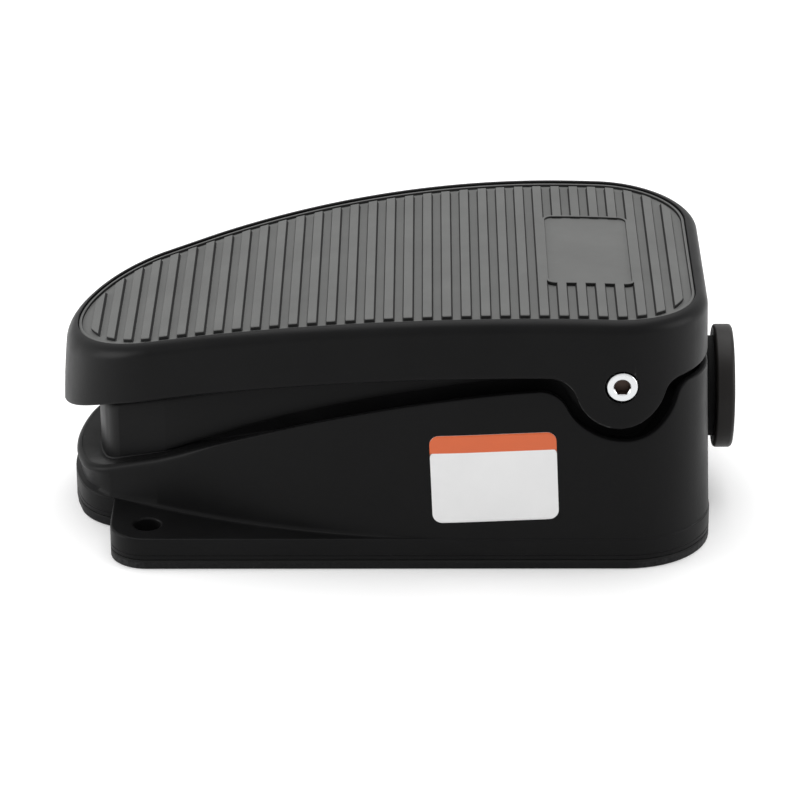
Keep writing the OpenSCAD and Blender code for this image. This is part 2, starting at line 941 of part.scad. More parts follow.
module retaining_ring() {
    ring_z = guide_z - guide_l - seat_gap - ring_t;
    color(steel)
    translate([plunger_x, 0, ring_z])
        linear_extrude(ring_t)
            difference() {
                circle(r = plunger_r + 1.8);
                circle(r = ring_groove_r + 0.05);
                translate([0, -1.6])
                    square([plunger_r + 3, 3.2]);
            }
}

// Height of a coil's wire after some turns: a closed turn at each end, even between them
function coil_z(t, turns, l, wire) =
    let (closed = wire, open = l - wire - 2 * closed)
    wire / 2 + (t < 1 ? closed * t
        : t > turns - 1 ? closed + open + closed * (t - turns + 1)
        : closed + open * (t - 1) / (turns - 2));

module coil(r, wire, l, turns, per_turn = 16, sides = 8) {
    steps = turns * per_turn;
    points = [
        for (i = [0:steps], k = [0:sides - 1])
            let (t = i / per_turn, a = t * 360, b = k * 360 / sides,
                 reach = r + wire / 2 * cos(b))
            [reach * cos(a), reach * sin(a), coil_z(t, turns, l, wire) + wire / 2 * sin(b)]
    ];
    sides_faces = [
        for (i = [0:steps - 1], k = [0:sides - 1])
            let (a = i * sides + k, b = i * sides + (k + 1) % sides)
            [a, b, b + sides, a + sides]
    ];
    start = [for (k = [sides - 1:-1:0]) k];
    end = [for (k = [0:sides - 1]) steps * sides + k];
    polyhedron(points = points, faces = concat([start, end], sides_faces));
}

module return_spring() {
    l = top_z(spring_x) - top_t - spring_floor_z - 4 * seat_gap;
    color("#a7a9ad")
    translate([spring_x, 0, spring_floor_z + seat_gap])
        coil(spring_r, spring_wire, l, 7);
}

// Frame on the roof, square to it, where the rubber bumpers stand
module bumper_place() {
    centre = pressed(top_c);
    roof_r = top_r - top_t - press_gap;
    lean = -asin((centre[0] - hinge_x + bumper_arm) / roof_r);
    translate([centre[0], bumper_y, centre[1]])
        rotate([0, lean, 0])
            translate([0, 0, roof_r])
                children();
}

module stop_bumpers() {
    color("#171717")
    both_sides()
        bumper_place() {
            translate([0, 0, 0.1])
                cylinder(r = 4.5, h = press_gap - seat_gap - 0.1);
            translate([0, 0, -base_wall - 0.6])
                cylinder(r = 1.95, h = base_wall + 0.7 + eps);
        }
}

// ---- Snap switch -------------------------------------------------------------------------

module snap_switch() {
    color("#20211f")
    difference() {
        union() {
            translate([switch_x, -switch_w / 2, switch_top_z - switch_h])
                cube([switch_l, switch_w, switch_h]);
            for (y = [-switch_w / 2 + 0.4, switch_w / 2 - 1.6])
                translate([lever_x - 2, y, switch_top_z - eps])
                    cube([4, 1.2, pivot_up + 1.6]);
        }
        for (x = mount_x)
            translate([switch_x + x, 0, switch_top_z - switch_h + mount_up])
                y_rod(mount_r + 0.1, -switch_w, switch_w);
        translate([lever_x + button_arm, 0, switch_top_z - 5])
            cylinder(r = button_r + running_gap, h = 6);
        translate([lever_x, 0, lever_z])
            y_rod(lever_pin_r + 0.03, -switch_w, switch_w);
    }
}

module switch_terminals() {
    color("#c8a24a")
    for (x = [2.5, 13, 23])
        translate([switch_x + x, -3.1, switch_top_z - switch_h - 6])
            difference() {
                cube([0.6, 6.2, 6 - 0.02]);
                translate([-1, 3.1, 2.4])
                    rotate([0, 90, 0])
                        cylinder(r = 0.9, h = 3);
            }
}

module lever_pin() {
    color(steel)
    translate([lever_x, 0, lever_z])
        y_rod(lever_pin_r, -switch_w / 2 + 0.4, switch_w / 2 - 0.4);
}

module switch_lever() {
    half = lever_w / 2;
    color("#c4c6c9")
    translate([lever_x, 0, lever_z])
        difference() {
            union() {
                y_rod(lever_eye_r, -half, half);
                rotate([0, -lever_rise, 0])
                    translate([0, -half, 0])
                        cube([lever_l, lever_w, lever_t]);
            }
            y_rod(lever_pin_r + running_gap, -lever_w, lever_w);
        }
}

module switch_button() {
    top = lever_z + button_arm * tan(lever_rise) - seat_gap - button_r * tan(lever_rise);
    color("#8c2f22")
    translate([lever_x + button_arm, 0, switch_top_z - 3])
        cylinder(r = button_r, h = top - switch_top_z + 3);
}

module switch_bracket() {
    drop = bracket_z - (switch_top_z - switch_h) + 1;
    color(zinc)
    difference() {
        union() {
            translate([switch_x, bracket_y, bracket_z - drop])
                cube([switch_l, bracket_t, drop]);
            translate([switch_x, bracket_y, bracket_z - bracket_t])
                cube([switch_l, bracket_foot, bracket_t]);
        }
        for (x = mount_x)
            translate([switch_x + x, 0, switch_top_z - switch_h + mount_up])
                y_rod(mount_r + 0.02, bracket_y - 1, bracket_y + 4);
        for (x = bracket_screw_x)
            translate([x, bracket_screw_y, bracket_z - 4])
                cylinder(r = 1.85, h = 8);
    }
}

module bracket_screws() {
    color(steel)
    for (x = bracket_screw_x)
        translate([x, bracket_screw_y, bracket_z - bracket_t])
            union() {
                translate([0, 0, -2.3])
                    cylinder(r = 3.2, h = 2.2);
                translate([0, 0, -0.2])
                    cylinder(r = 1.7, h = 8);
            }
}

module switch_screws() {
    color(steel)
    for (x = mount_x)
        translate([switch_x + x, 0, switch_top_z - switch_h + mount_up]) {
            y_rod(mount_r - 0.02, -switch_w / 2 - 0.2, bracket_y + bracket_t);
            y_rod(2.7, -switch_w / 2 - 2.2, -switch_w / 2 - 0.1);
        }
}

module earth_screw() {
    color("#3f8a4a")
    translate([earth_at[0], earth_at[1], earth_z])
        difference() {
            union() {
                translate([0, 0, -0.1])
                    cylinder(r = 1.95, h = 8);
                translate([0, 0, -0.9])
                    cylinder(r = earth_head_r + 0.9, h = 0.8);
                translate([0, 0, -3.4])
                    cylinder(r = earth_head_r, h = 2.5 + eps);
            }
            translate([-earth_head_r - 1, -0.5, -4.4])
                cube([2 * earth_head_r + 2, 1, 2.2]);
        }
}

base_housing();
bottom_plate();
base_gasket();
plate_screws();
conduit_plug();
plug_seal();
hinge_screws();
snap_switch();
switch_terminals();
switch_bracket();
bracket_screws();
switch_screws();
lever_pin();
plunger_guide();
plunger_seal();
stop_bumpers();
earth_screw();
treadle();
tread_pad();
hinge_bushes();
actuator_screw();
lock_nut();
stop_bolt();
stop_washer();
plunger();
retaining_ring();
return_spring();
switch_lever();
switch_button();
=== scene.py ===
import json
import math

import bmesh
import bpy
import numpy as np
from mathutils import Matrix, Vector


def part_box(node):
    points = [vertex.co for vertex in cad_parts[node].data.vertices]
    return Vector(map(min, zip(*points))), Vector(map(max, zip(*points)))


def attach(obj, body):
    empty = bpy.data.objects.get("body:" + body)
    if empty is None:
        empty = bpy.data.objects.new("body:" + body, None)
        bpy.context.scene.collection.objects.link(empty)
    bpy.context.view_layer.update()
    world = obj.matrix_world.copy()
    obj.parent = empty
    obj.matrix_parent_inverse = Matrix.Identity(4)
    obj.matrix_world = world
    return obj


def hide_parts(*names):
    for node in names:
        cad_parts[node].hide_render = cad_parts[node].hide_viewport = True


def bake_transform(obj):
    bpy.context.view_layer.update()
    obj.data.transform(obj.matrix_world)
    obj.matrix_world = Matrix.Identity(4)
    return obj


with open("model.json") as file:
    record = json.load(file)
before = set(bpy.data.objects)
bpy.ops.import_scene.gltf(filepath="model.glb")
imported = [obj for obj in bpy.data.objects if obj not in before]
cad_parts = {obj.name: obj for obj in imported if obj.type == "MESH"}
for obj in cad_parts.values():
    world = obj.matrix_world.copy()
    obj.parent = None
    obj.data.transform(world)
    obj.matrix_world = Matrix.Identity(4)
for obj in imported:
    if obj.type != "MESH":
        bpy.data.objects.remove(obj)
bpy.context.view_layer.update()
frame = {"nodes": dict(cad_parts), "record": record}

MM = 0.001


def box_mm(node):
    low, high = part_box(node)
    return [v / MM for v in low], [v / MM for v in high]


# ---- Sizes, in millimetres, read from the frame ------------------------------------------

base_low, base_high = box_mm("base_housing")
pin_low, pin_high = box_mm("hinge_screws")
toe_x = base_low[0]
heel_x = -toe_x
half_w = base_high[1]
hinge_x = (pin_low[0] + pin_high[0]) / 2
hinge_z = (pin_low[2] + pin_high[2]) / 2
overall_h = box_mm("treadle")[1][2]
floor_z = box_mm("base_gasket")[1][2]
flange_h = 8.5
ear_x = toe_x + 21.6
ear_r = 9.8
ear_y = half_w - 9
draft = math.tan(math.radians(2))
base_wall = 3.2
ledge_w = 5
lip_w = 1.8
groove_h = 3
edge_x = hinge_x - 20

treadle_half_w = half_w + 0.3
treadle_toe_x = toe_x - 1.9
treadle_heel_x = heel_x - 1.7
treadle_wall = 3.2
shoulder_r = 3
skirt_flare = 0.7
recess_h = 2
recess_inset = shoulder_r + 0.3
top_t = recess_h + treadle_wall
crown_x = heel_x - 42.7
toe_drop = 21.7
top_r = ((crown_x - treadle_toe_x) ** 2 + toe_drop**2) / (2 * toe_drop)
top_cz = overall_h - top_r
lobe_r = 11.8
lobe_gap = 3.8
heel_edge_z = hinge_z - 0.3
rim_top_z = hinge_z - 2.3
rim_heel_z = hinge_z - 1.8
rim_x = hinge_x - 6.9
rim_r = 242
rim_toe_z = 13.9
rim_toe_slope = 0.217
rim_blend = 4.2
base_tip_r, base_corner_r, base_heel_r = 48, 16, 22.5
treadle_heel_r = 26
press_travel = 12.74
press_a = math.asin(press_travel / (hinge_x - treadle_toe_x))
press_gap = 1.5
head_h, head_r, head_sunk = 4.6, 3.97, 0.3
head_hole_r, bush_hole_r = 4.35, 4.2
pivot_r, post_r, post_l, post_hole_r = 3.175, 7, 13, 2.4
ear_hole_r = 3.55
entry_r = 10.2

# ---- Plan outlines -----------------------------------------------------------------------


def plan_arcs(toe, tip_r, corner_r, corner_y, side_x, half, back_r, heel):
    reach = tip_r - corner_r
    corner_x = toe + tip_r - math.sqrt(reach**2 - corner_y**2)
    tip_a = math.pi - math.asin(corner_y / reach)
    dx, h = side_x - corner_x, half - corner_y
    side_r = 0.98 * (dx * dx + h * h - corner_r**2) / (2 * (h - corner_r))
    dy = half - side_r - corner_y
    side_a = math.atan2(dy, dx) + math.acos((corner_r - side_r) / math.hypot(dx, dy))
    return [
        (toe + tip_r, 0, tip_r, math.pi, tip_a),
        (corner_x, corner_y, corner_r, tip_a, side_a),
        (side_x, half - side_r, side_r, side_a, math.pi / 2),
        (heel - back_r, half - back_r, back_r, math.pi / 2, 0),
    ]


base_arcs = plan_arcs(
    toe_x, base_tip_r, base_corner_r, half_w - 39.2, heel_x - 62.5, half_w, base_heel_r, heel_x
)
nose_r = half_w - 15
treadle_arcs = plan_arcs(
    treadle_toe_x, nose_r, nose_r - 1, 0.3, hinge_x - 13, treadle_half_w, treadle_heel_r,
    treadle_heel_x,
)


def columns(arcs, fine=0.35, coarse=1.1):
    """Points and outward normals of a whole outline, from the toe round by +Y and back."""
    half = []

    def put(x, y, nx, ny):
        if not half or math.hypot(x - half[-1][0], y - half[-1][1]) > 1e-4:
            half.append((x, y, nx, ny))

    def step_at(x):
        return fine if hinge_x - 22 < x < hinge_x + 19 else coarse

    for k, (cx, cy, r, a0, a1) in enumerate(arcs):
        a = a0
        while True:
            put(cx + r * math.cos(a), cy + r * math.sin(a), math.cos(a), math.sin(a))
            if a <= a1 + 1e-9:
                break
            a = max(a1, a - step_at(cx + r * math.cos(a)) / r)
        if k == 2:
            x0, x1 = half[-1][0], arcs[3][0]
            x = x0
            while x < x1:
                x = min(x1, x + step_at(x))
                put(x, arcs[2][1] + arcs[2][2], 0.0, 1.0)
    half[0] = (half[0][0], 0.0, -1.0, 0.0)
    half[-1] = (half[-1][0], 0.0, 1.0, 0.0)
    back = [(x, -y, nx, -ny) for x, y, nx, ny in half[-2:0:-1]]
    return np.array(half + back), len(half)


base_cols, base_half = columns(base_arcs)
tread_cols, tread_half = columns(treadle_arcs)


def ring(cols, inset, z):
    """A ring of points: inset and z are numbers, arrays, or functions of the point's x."""
    inset = np.broadcast_to(np.asarray(inset, float), len(cols))
    p = cols[:, :2] - inset[:, None] * cols[:, 2:]
    p[:, 0] = np.clip(p[:, 0], cols[0, 0], None)
    z = z(p[:, 0]) if callable(z) else np.broadcast_to(np.asarray(z, float), len(cols))
    return np.column_stack([p, z])


# ---- Side profiles -----------------------------------------------------------------------


def top_z(x, r=top_r):
    return top_cz + np.sqrt(np.maximum(0, r * r - (x - crown_x) ** 2))


def skirt_z(x):
    dip = np.maximum(0, (treadle_toe_x + 18 - x) / 18)
    return top_z(x) - 15.5 - 4 * dip * dip


def crown_z(x):
    falls = rim_top_z - rim_r + np.sqrt(np.maximum(0, rim_r**2 - (x - rim_x) ** 2))
    return np.where(x > rim_x, rim_top_z, falls)


def rim_z(x):
    """The rim's height: a slope from the toe, blended into the arc before the hinge."""
    toe, crown = rim_toe_z + rim_toe_slope * (x - toe_x), crown_z(x)
    return (toe + crown + np.sqrt((toe - crown) ** 2 + rim_blend**2)) / 2


def groove_z(x):
    return rim_z(x) - groove_h * np.clip((x - toe_x - 30) / 30, 0, 1)


def with_lobe(x, left, heel_z, r, f_left=8.0, f_right=4.0):
    """An edge's height: left of the hinge, the lobe with its two fillets, level behind it."""
    x = np.asarray(x, float)
    level = float(left(edge_x))
    z = np.where(x < edge_x, left(x), level)
    for side, edge, f in ((-1, level, f_left), (1, heel_z, f_right)):
        drop = hinge_z - edge + f
        reach = math.sqrt((r + f) ** 2 - drop**2)
        cx, cz = hinge_x + side * reach, edge - f
        tangent = hinge_x + side * r * reach / (r + f)
        on_fillet = (x - cx) * -side > 0
        arc = cz + np.sqrt(np.maximum(0, f * f - (x - cx) ** 2))
        if side > 0:
            z = np.where(x > hinge_x, edge, z)
        z = np.where(on_fillet & ((x - tangent) * -side < 0), arc, z)
        inside = ((x - tangent) * -side >= 0) & ((x - hinge_x) * side >= 0)
        z = np.where(inside, hinge_z - np.sqrt(np.maximum(0, r * r - (x - hinge_x) ** 2)), z)
    return z


def treadle_edge(x):
    return with_lobe(x, skirt_z, heel_edge_z, lobe_r)


def wider_behind(x, left, heel_z, r):
    """The recess round a lobe, a little wider behind the hinge."""
    w = np.clip((np.asarray(x, float) - hinge_x + 8) / 16, 0, 1)
    return (1 - w) * with_lobe(x, left, heel_z, r - 0.2) + w * with_lobe(x, left, heel_z, r + 0.8)


def base_rim(x):
    return wider_behind(x, rim_z, rim_heel_z, lobe_r + lobe_gap)


def base_groove(x):
    return wider_behind(
        x, groove_z, rim_heel_z - groove_h, lobe_r + lobe_gap + groove_h / 2
    )


def roof_z(x, drop=press_gap):
    """Top of the base under the treadle: it clears the underside at rest and pressed."""
    r = top_r - top_t - drop
    dx, dz = crown_x - hinge_x, top_cz - hinge_z
    c, s = math.cos(press_a), math.sin(press_a)
    px, pz = hinge_x + dx * c - dz * s, hinge_z + dx * s + dz * c
    rest = top_cz + np.sqrt(np.maximum(0, r * r - (x - crown_x) ** 2))
    down = pz + np.sqrt(np.maximum(0, r * r - (x - px) ** 2))
    return np.minimum(rest, down)


# ---- Mesh helpers ------------------------------------------------------------------------


def make(name, verts, faces, smooth=True):
    mesh = bpy.data.meshes.new(name)
    mesh.from_pydata([tuple(v) for v in np.asarray(verts, float) * MM], [], faces)
    bm = bmesh.new()
    bm.from_mesh(mesh)
    bmesh.ops.remove_doubles(bm, verts=bm.verts, dist=1e-7)
    bmesh.ops.dissolve_degenerate(bm, dist=1e-7, edges=bm.edges)
    bmesh.ops.recalc_face_normals(bm, faces=bm.faces)
    bm.to_mesh(mesh)
    bm.free()
    for p in mesh.polygons:
        p.use_smooth = smooth
    obj = bpy.data.objects.new(name, mesh)
    bpy.context.scene.collection.objects.link(obj)
    return obj


def capped(name, rings, half):
    """A closed body through rings of one outline: both ends are joined across Y."""
    n = len(rings[0])
    verts = np.concatenate(rings)
    faces = []
    for k in range(len(rings) - 1):
        u, l = k * n, (k + 1) * n
        faces += [(u + i, u + (i + 1) % n, l + (i + 1) % n, l + i) for i in range(n)]
    for base, flip in ((0, True), ((len(rings) - 1) * n, False)):
        cap = [(base, base + 1, base + n - 1)]
        cap += [
            (base + i, base + i + 1, base + n - i - 1, base + n - i)
            for i in range(1, half - 2)
        ]
        cap.append((base + half - 2, base + half - 1, base + half))
        faces += [f[::-1] for f in cap] if flip else cap
    return make(name, verts, faces)


def lathe(name, profile, at, axis="Z", steps=96):
    """Turns (radius, height) pairs round an axis through at; ends on the axis close it."""
    verts, faces, rows = [], [], []
    for r, h in profile:
        if r < 1e-6:
            rows.append([len(verts)])
            verts.append((0, 0, h))
        else:
            rows.append(list(range(len(verts), len(verts) + steps)))
            verts += [
                (r * math.cos(2 * math.pi * i / steps), r * math.sin(2 * math.pi * i / steps), h)
                for i in range(steps)
            ]
    for a, b in zip(rows, rows[1:]):
        for i in range(steps):
            j = (i + 1) % steps
            if len(a) == 1 and len(b) > 1:
                faces.append((a[0], b[i], b[j]))
            elif len(b) == 1 and len(a) > 1:
                faces.append((a[i], a[j], b[0]))
            elif len(a) > 1:
                faces.append((a[i], a[j], b[j], b[i]))
    v = np.array(verts)
    if axis == "X":
        v = v[:, [2, 0, 1]]
    elif axis == "Y":
        v = v[:, [1, 2, 0]]
    elif axis == "-Y":
        v = v[:, [0, 2, 1]] * [1, -1, 1]
    return make(name, v + np.asarray(at, float), faces)


def round_corner(r_at, h_at, r, a0, a1, steps=5):
    """Points of a quarter round about (r_at, h_at)."""
    return [
        (
            r_at + r * math.cos(math.radians(a0 + (a1 - a0) * i / steps)),
            h_at + r * math.sin(math.radians(a0 + (a1 - a0) * i / steps)),
        )
        for i in range(steps + 1)
    ]


def carve(obj, cutters, operation="DIFFERENCE"):
    for cutter in cutters:
        mod = obj.modifiers.new("cut", "BOOLEAN")
        mod.operation = operation
        mod.solver = "EXACT"
        mod.object = cutter
        graph = bpy.context.evaluated_depsgraph_get()
        mesh = bpy.data.meshes.new_from_object(obj.evaluated_get(graph))
        obj.modifiers.clear()
        old = obj.data
        obj.data = mesh
        bpy.data.meshes.remove(old)
        mesh = cutter.data
        bpy.data.objects.remove(cutter)
        bpy.data.meshes.remove(mesh)
    for p in obj.data.polygons:
        p.use_smooth = True
    return obj


def joined(name, objs):
    """One mesh from several closed ones, so that a part shows as one piece."""
    bm = bmesh.new()
    for o in objs:
        bm.from_mesh(o.data)
    mesh = bpy.data.meshes.new(name)
    bm.to_mesh(mesh)
    bm.free()
    for o in objs:
        old = o.data
        bpy.data.objects.remove(o)
        bpy.data.meshes.remove(old)
    obj = bpy.data.objects.new(name, mesh)
    bpy.context.scene.collection.objects.link(obj)
    for p in mesh.polygons:
        p.use_smooth = True
    return obj


def crisp(obj, angle=38):
    """Smooth faces with edges sharper than angle kept sharp."""
    bm = bmesh.new()
    bm.from_mesh(obj.data)
    for e in bm.edges:
        e.smooth = not (len(e.link_faces) == 2 and e.calc_face_angle(0) > math.radians(angle))
    bm.to_mesh(obj.data)
    bm.free()
    mod = obj.modifiers.new("normals", "WEIGHTED_NORMAL")
    mod.keep_sharp = True
    return obj


# ---- Materials ---------------------------------------------------------------------------


def new_material(name):
    m = bpy.data.materials.new(name)
    m.use_nodes = True
    tree = m.node_tree
    tree.nodes.clear()
    return m, tree


def add(tree, kind, **inputs):
    node = tree.nodes.new(kind)
    for key, value in inputs.items():
        node.inputs[key.replace("_", " ")].default_value = value
    return node


def any_of(tree, *signals):
    """One where any of the signals is one."""
    seen = signals[0]
    for signal in signals[1:]:
        node = tree.nodes.new("ShaderNodeMath")
        node.operation = "MAXIMUM"
        tree.links.new(seen, node.inputs[0])
        tree.links.new(signal, node.inputs[1])
        seen = node.outputs[0]
    return seen


def finish_of(
    name, color, rough, metallic=0.0, specular=0.5, grain=900.0, bump=0.12, vary=0.12,
    rough_vary=0.06, wear=0.0, wear_color=(0.3, 0.3, 0.3), depth=0.00008, brushed=None,
):
    """A surface with mottled colour, uneven roughness, a fine grain and worn edges."""
    m, tree = new_material(name)
    link = tree.links.new
    where = tree.nodes.new("ShaderNodeTexCoord")
    spot = where.outputs["Object"]
    if brushed:
        stretch = tree.nodes.new("ShaderNodeMapping")
        stretch.inputs["Scale"].default_value = brushed
        link(spot, stretch.inputs["Vector"])
        spot = stretch.outputs["Vector"]
    blotch = add(tree, "ShaderNodeTexNoise", Scale=70.0, Detail=4.0, Roughness=0.6)
    fine = add(tree, "ShaderNodeTexNoise", Scale=grain, Detail=3.0, Roughness=0.55)
    link(where.outputs["Object"], blotch.inputs["Vector"])
    link(spot, fine.inputs["Vector"])

    def spread(source, low, high):
        node = tree.nodes.new("ShaderNodeMapRange")
        node.inputs["From Min"].default_value = 0.3
        node.inputs["From Max"].default_value = 0.7
        node.inputs["To Min"].default_value = low
        node.inputs["To Max"].default_value = high
        link(source, node.inputs["Value"])
        return node.outputs["Result"]

    shade = tree.nodes.new("ShaderNodeMix")
    shade.data_type = "RGBA"
    dark = [c * (1 - vary) for c in color] + [1]
    light = [c * (1 + vary) for c in color] + [1]
    shade.inputs[6].default_value = dark
    shade.inputs[7].default_value = light
    link(spread(blotch.outputs["Fac"], 0, 1), shade.inputs[0])
    paint = shade.outputs[2]
    if wear:
        geometry = tree.nodes.new("ShaderNodeNewGeometry")
        edge = tree.nodes.new("ShaderNodeMapRange")
        edge.inputs["From Min"].default_value = 0.56
        edge.inputs["From Max"].default_value = 0.66
        edge.inputs["To Min"].default_value = 0.0
        edge.inputs["To Max"].default_value = wear
        link(geometry.outputs["Pointiness"], edge.inputs["Value"])
        patchy = tree.nodes.new("ShaderNodeMath")
        patchy.operation = "MULTIPLY"
        link(edge.outputs["Result"], patchy.inputs[0])
        link(spread(fine.outputs["Fac"], 0, 1), patchy.inputs[1])
        rubbed = tree.nodes.new("ShaderNodeMix")
        rubbed.data_type = "RGBA"
        rubbed.inputs[7].default_value = (*wear_color, 1)
        link(patchy.outputs[0], rubbed.inputs[0])
        link(paint, rubbed.inputs[6])
        paint = rubbed.outputs[2]
    relief = add(tree, "ShaderNodeBump", Strength=bump, Distance=depth)
    link(fine.outputs["Fac"], relief.inputs["Height"])
    body = add(tree, "ShaderNodeBsdfPrincipled", Metallic=metallic)
    body.inputs["Specular IOR Level"].default_value = specular
    link(paint, body.inputs["Base Color"])
    link(spread(blotch.outputs["Fac"], rough - rough_vary, rough + rough_vary),
         body.inputs["Roughness"])
    link(relief.outputs["Normal"], body.inputs["Normal"])
    out = tree.nodes.new("ShaderNodeOutputMaterial")
    link(body.outputs[0], out.inputs[0])
    return m


enamel = dict(specular=0.075, grain=1500.0, bump=0.25, vary=0.1, wear=0.12)
MATERIALS = {
    "housing": finish_of("cast_enamel", (0.0062, 0.0062, 0.0064), 0.42, **enamel),
    "treadle_body": finish_of("treadle_enamel", (0.0062, 0.0062, 0.0064), 0.38, **enamel),
    "tread": finish_of("tread_rubber", (0.094, 0.095, 0.093), 0.72, specular=0.3, grain=2200.0,
                       bump=0.35, vary=0.14),
    "plate": finish_of("zinc_sheet", (0.42, 0.43, 0.44), 0.42, metallic=1.0,
                       brushed=(40, 1, 1), bump=0.1),
    "plate_paint": finish_of("plate_enamel", (0.008, 0.008, 0.0085), 0.5, **enamel),
    "gasket": finish_of("gasket_rubber", (0.006, 0.006, 0.006), 0.8, specular=0.2, bump=0.3),
    "screws": finish_of("plated_steel", (0.62, 0.63, 0.64), 0.26, metallic=1.0,
                        brushed=(1, 30, 1), bump=0.06, vary=0.05),
    "plug": finish_of("plug_plastic", (0.0095, 0.0083, 0.0076), 0.45, specular=0.18,
                      grain=1200.0, bump=0.2),
    "switch_case": finish_of("phenolic", (0.03, 0.03, 0.03), 0.55, bump=0.2),
    "contacts": finish_of("brass_blades", (0.70, 0.52, 0.25), 0.3, metallic=1.0, bump=0.06),
    "guide": finish_of("sintered_bronze", (0.52, 0.40, 0.2), 0.45, metallic=1.0, grain=3000.0,
                       bump=0.4),
    "bush": finish_of("nylon", (0.78, 0.75, 0.66), 0.5, vary=0.04, bump=0.1),
    "rod": finish_of("acetal", (0.74, 0.72, 0.66), 0.42, vary=0.04, bump=0.08),
    "spring": finish_of("spring_wire", (0.5, 0.51, 0.52), 0.3, metallic=1.0, bump=0.08),
    "lever": finish_of("stainless_strip", (0.62, 0.63, 0.64), 0.28, metallic=1.0,
                       brushed=(1, 40, 1), bump=0.06),
    "button": finish_of("button_plastic", (0.3, 0.05, 0.035), 0.35, bump=0.08),
    "earth": finish_of("green_earth", (0.04, 0.18, 0.075), 0.4, metallic=0.6, bump=0.1),
}


def wears(obj, slot):
    obj.data.materials.clear()
    obj.data.materials.append(MATERIALS[slot])
    return obj


# ---- Treadle -----------------------------------------------------------------------------


def arc_steps(n):
    return [math.pi / 2 * i / n for i in range(n + 1)]


low_z = min(hinge_z - lobe_r - 2, float(skirt_z(treadle_toe_x)) - 2)


def flared(cols, z):
    """Inset of the skirt's outer face at a height, which leans out towards its edge."""
    top = top_z(cols[:, 0]) - shoulder_r
    return -skirt_flare * np.clip((top - z) / (top - low_z), 0, 1)


cols = tread_cols
at_nose = np.clip((treadle_toe_x + 24 - cols[:, 0]) / 20, 0, 1) ** 1.5
tip_in = 0.6 * at_nose
shoulder_h = shoulder_r + 1.6 * at_nose
rings = []
rings.append(ring(cols, recess_inset + tip_in, lambda x: top_z(x) - recess_h))
rings.append(ring(cols, recess_inset + tip_in, lambda x: top_z(x) - 0.3))
for a in arc_steps(3)[1:]:
    rings.append(ring(cols, recess_inset + tip_in - 0.22 * (1 - math.cos(a)),
                      lambda x, a=a: top_z(x) - 0.3 * (1 - math.sin(a))))
for a in arc_steps(9):
    rings.append(ring(cols, shoulder_r * (1 - math.sin(a)) + tip_in,
                      lambda x, a=a: top_z(x) - shoulder_h * (1 - math.cos(a))))
edge = treadle_edge(cols[:, 0])
under = top_z(cols[:, 0]) - shoulder_h
edge_r = 0.9
for t in (0.04, 0.2, 0.4, 0.6, 0.8, 0.96):
    z = under + (edge + edge_r - under) * t
    rings.append(ring(cols, flared(cols, z) + tip_in * (1 - t), z))
outer = flared(cols, edge + edge_r)
for a in arc_steps(5):
    rings.append(ring(cols, outer + edge_r * (1 - math.cos(a)),
                      lambda x, a=a: treadle_edge(x) + edge_r * (1 - math.sin(a))))
for a in arc_steps(3):
    rings.append(ring(cols, treadle_wall - 0.5 * (1 - math.sin(a)),
                      lambda x, a=a: treadle_edge(x) + 0.5 * (1 - math.cos(a))))
ceiling = top_r - top_t
inner_top = ring(cols, treadle_wall, lambda x: top_z(x, ceiling))
rings.append(np.column_stack([inner_top[:, :2], (inner_top[:, 2] + edge) / 2]))
rings.append(inner_top - [0, 0, 1.0])
for a in arc_steps(3)[1:]:
    rings.append(ring(cols, treadle_wall + 1.0 * (1 - math.cos(a)),
                      lambda x, a=a: top_z(x, ceiling) - 1.0 * (1 - math.sin(a))))
shell = capped("treadle_shell", rings, tread_half)

face_y = treadle_half_w + 0.35
head_y = face_y - head_h - head_sunk
for side in (1, -1):
    skin = treadle_half_w + 0.33
    mouth = [(0, head_y - 0.1), (head_hole_r, head_y - 0.1), (head_hole_r, skin - 0.75)]
    mouth += [(head_hole_r + 0.75 * (1 - math.cos(a)), skin - 0.75 + 0.75 * math.sin(a))
              for a in arc_steps(5)[1:]]
    mouth += [(5.6, skin + 2), (0, skin + 2)]
    carve(shell, [lathe("cutter", mouth, (hinge_x, 0, hinge_z), "Y" if side > 0 else "-Y")])
    carve(shell, [lathe("cutter", [(0, 30), (bush_hole_r, 30), (bush_hole_r, 60), (0, 60)],
                        (hinge_x, 0, hinge_z), "Y" if side > 0 else "-Y")])
extra = []
boss_y = treadle_half_w - 5.2
for side in ("Y", "-Y"):
    extra.append(lathe("boss", [(bush_hole_r, boss_y + 0.3),
                                *round_corner(8.5, boss_y + 0.5, 0.5, -90, 0),
                                (9, treadle_half_w - treadle_wall + 0.2),
                                (bush_hole_r, treadle_half_w - treadle_wall + 0.2),
                                (bush_hole_r, boss_y + 0.3)],
                       (hinge_x, 0, hinge_z), side))


def hanging_boss(x, r, low, top=1.6):
    """A round boss under the treadle's top, with a rounded foot."""
    roof = float(top_z(x, ceiling)) + top
    return lathe("boss", [(0, low), (r - 0.6, low), *round_corner(r - 0.6, low + 0.6, 0.6, -90, 0),
                          (r, roof), (0, roof)], (x, 0, 0))


plunger_x, spring_x, stop_x = hinge_x - 57.8, hinge_x - 92, hinge_x - 113.8
nut_top = box_mm("lock_nut")[1][2]
extra.append(hanging_boss(plunger_x, 6, nut_top + 0.2))
extra.append(hanging_boss(spring_x, 5.2, float(top_z(spring_x)) - top_t - 4))
extra.append(hanging_boss(stop_x, 5.5, float(top_z(stop_x)) - top_t - 4.2))
treadle = joined("treadle_casting", [shell, *extra])
crisp(treadle)
wears(treadle, "treadle_body")
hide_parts("treadle")
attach(treadle, "treadle")

# ---- Tread pad ---------------------------------------------------------------------------

pad_edge = recess_inset + 0.15
web_r = top_r - recess_h + 0.8
rib_h, rib_w, rib_pitch, rib_in = 1.0, 3.05, 4.975, pad_edge + 2.5
rib_shift = -1.77


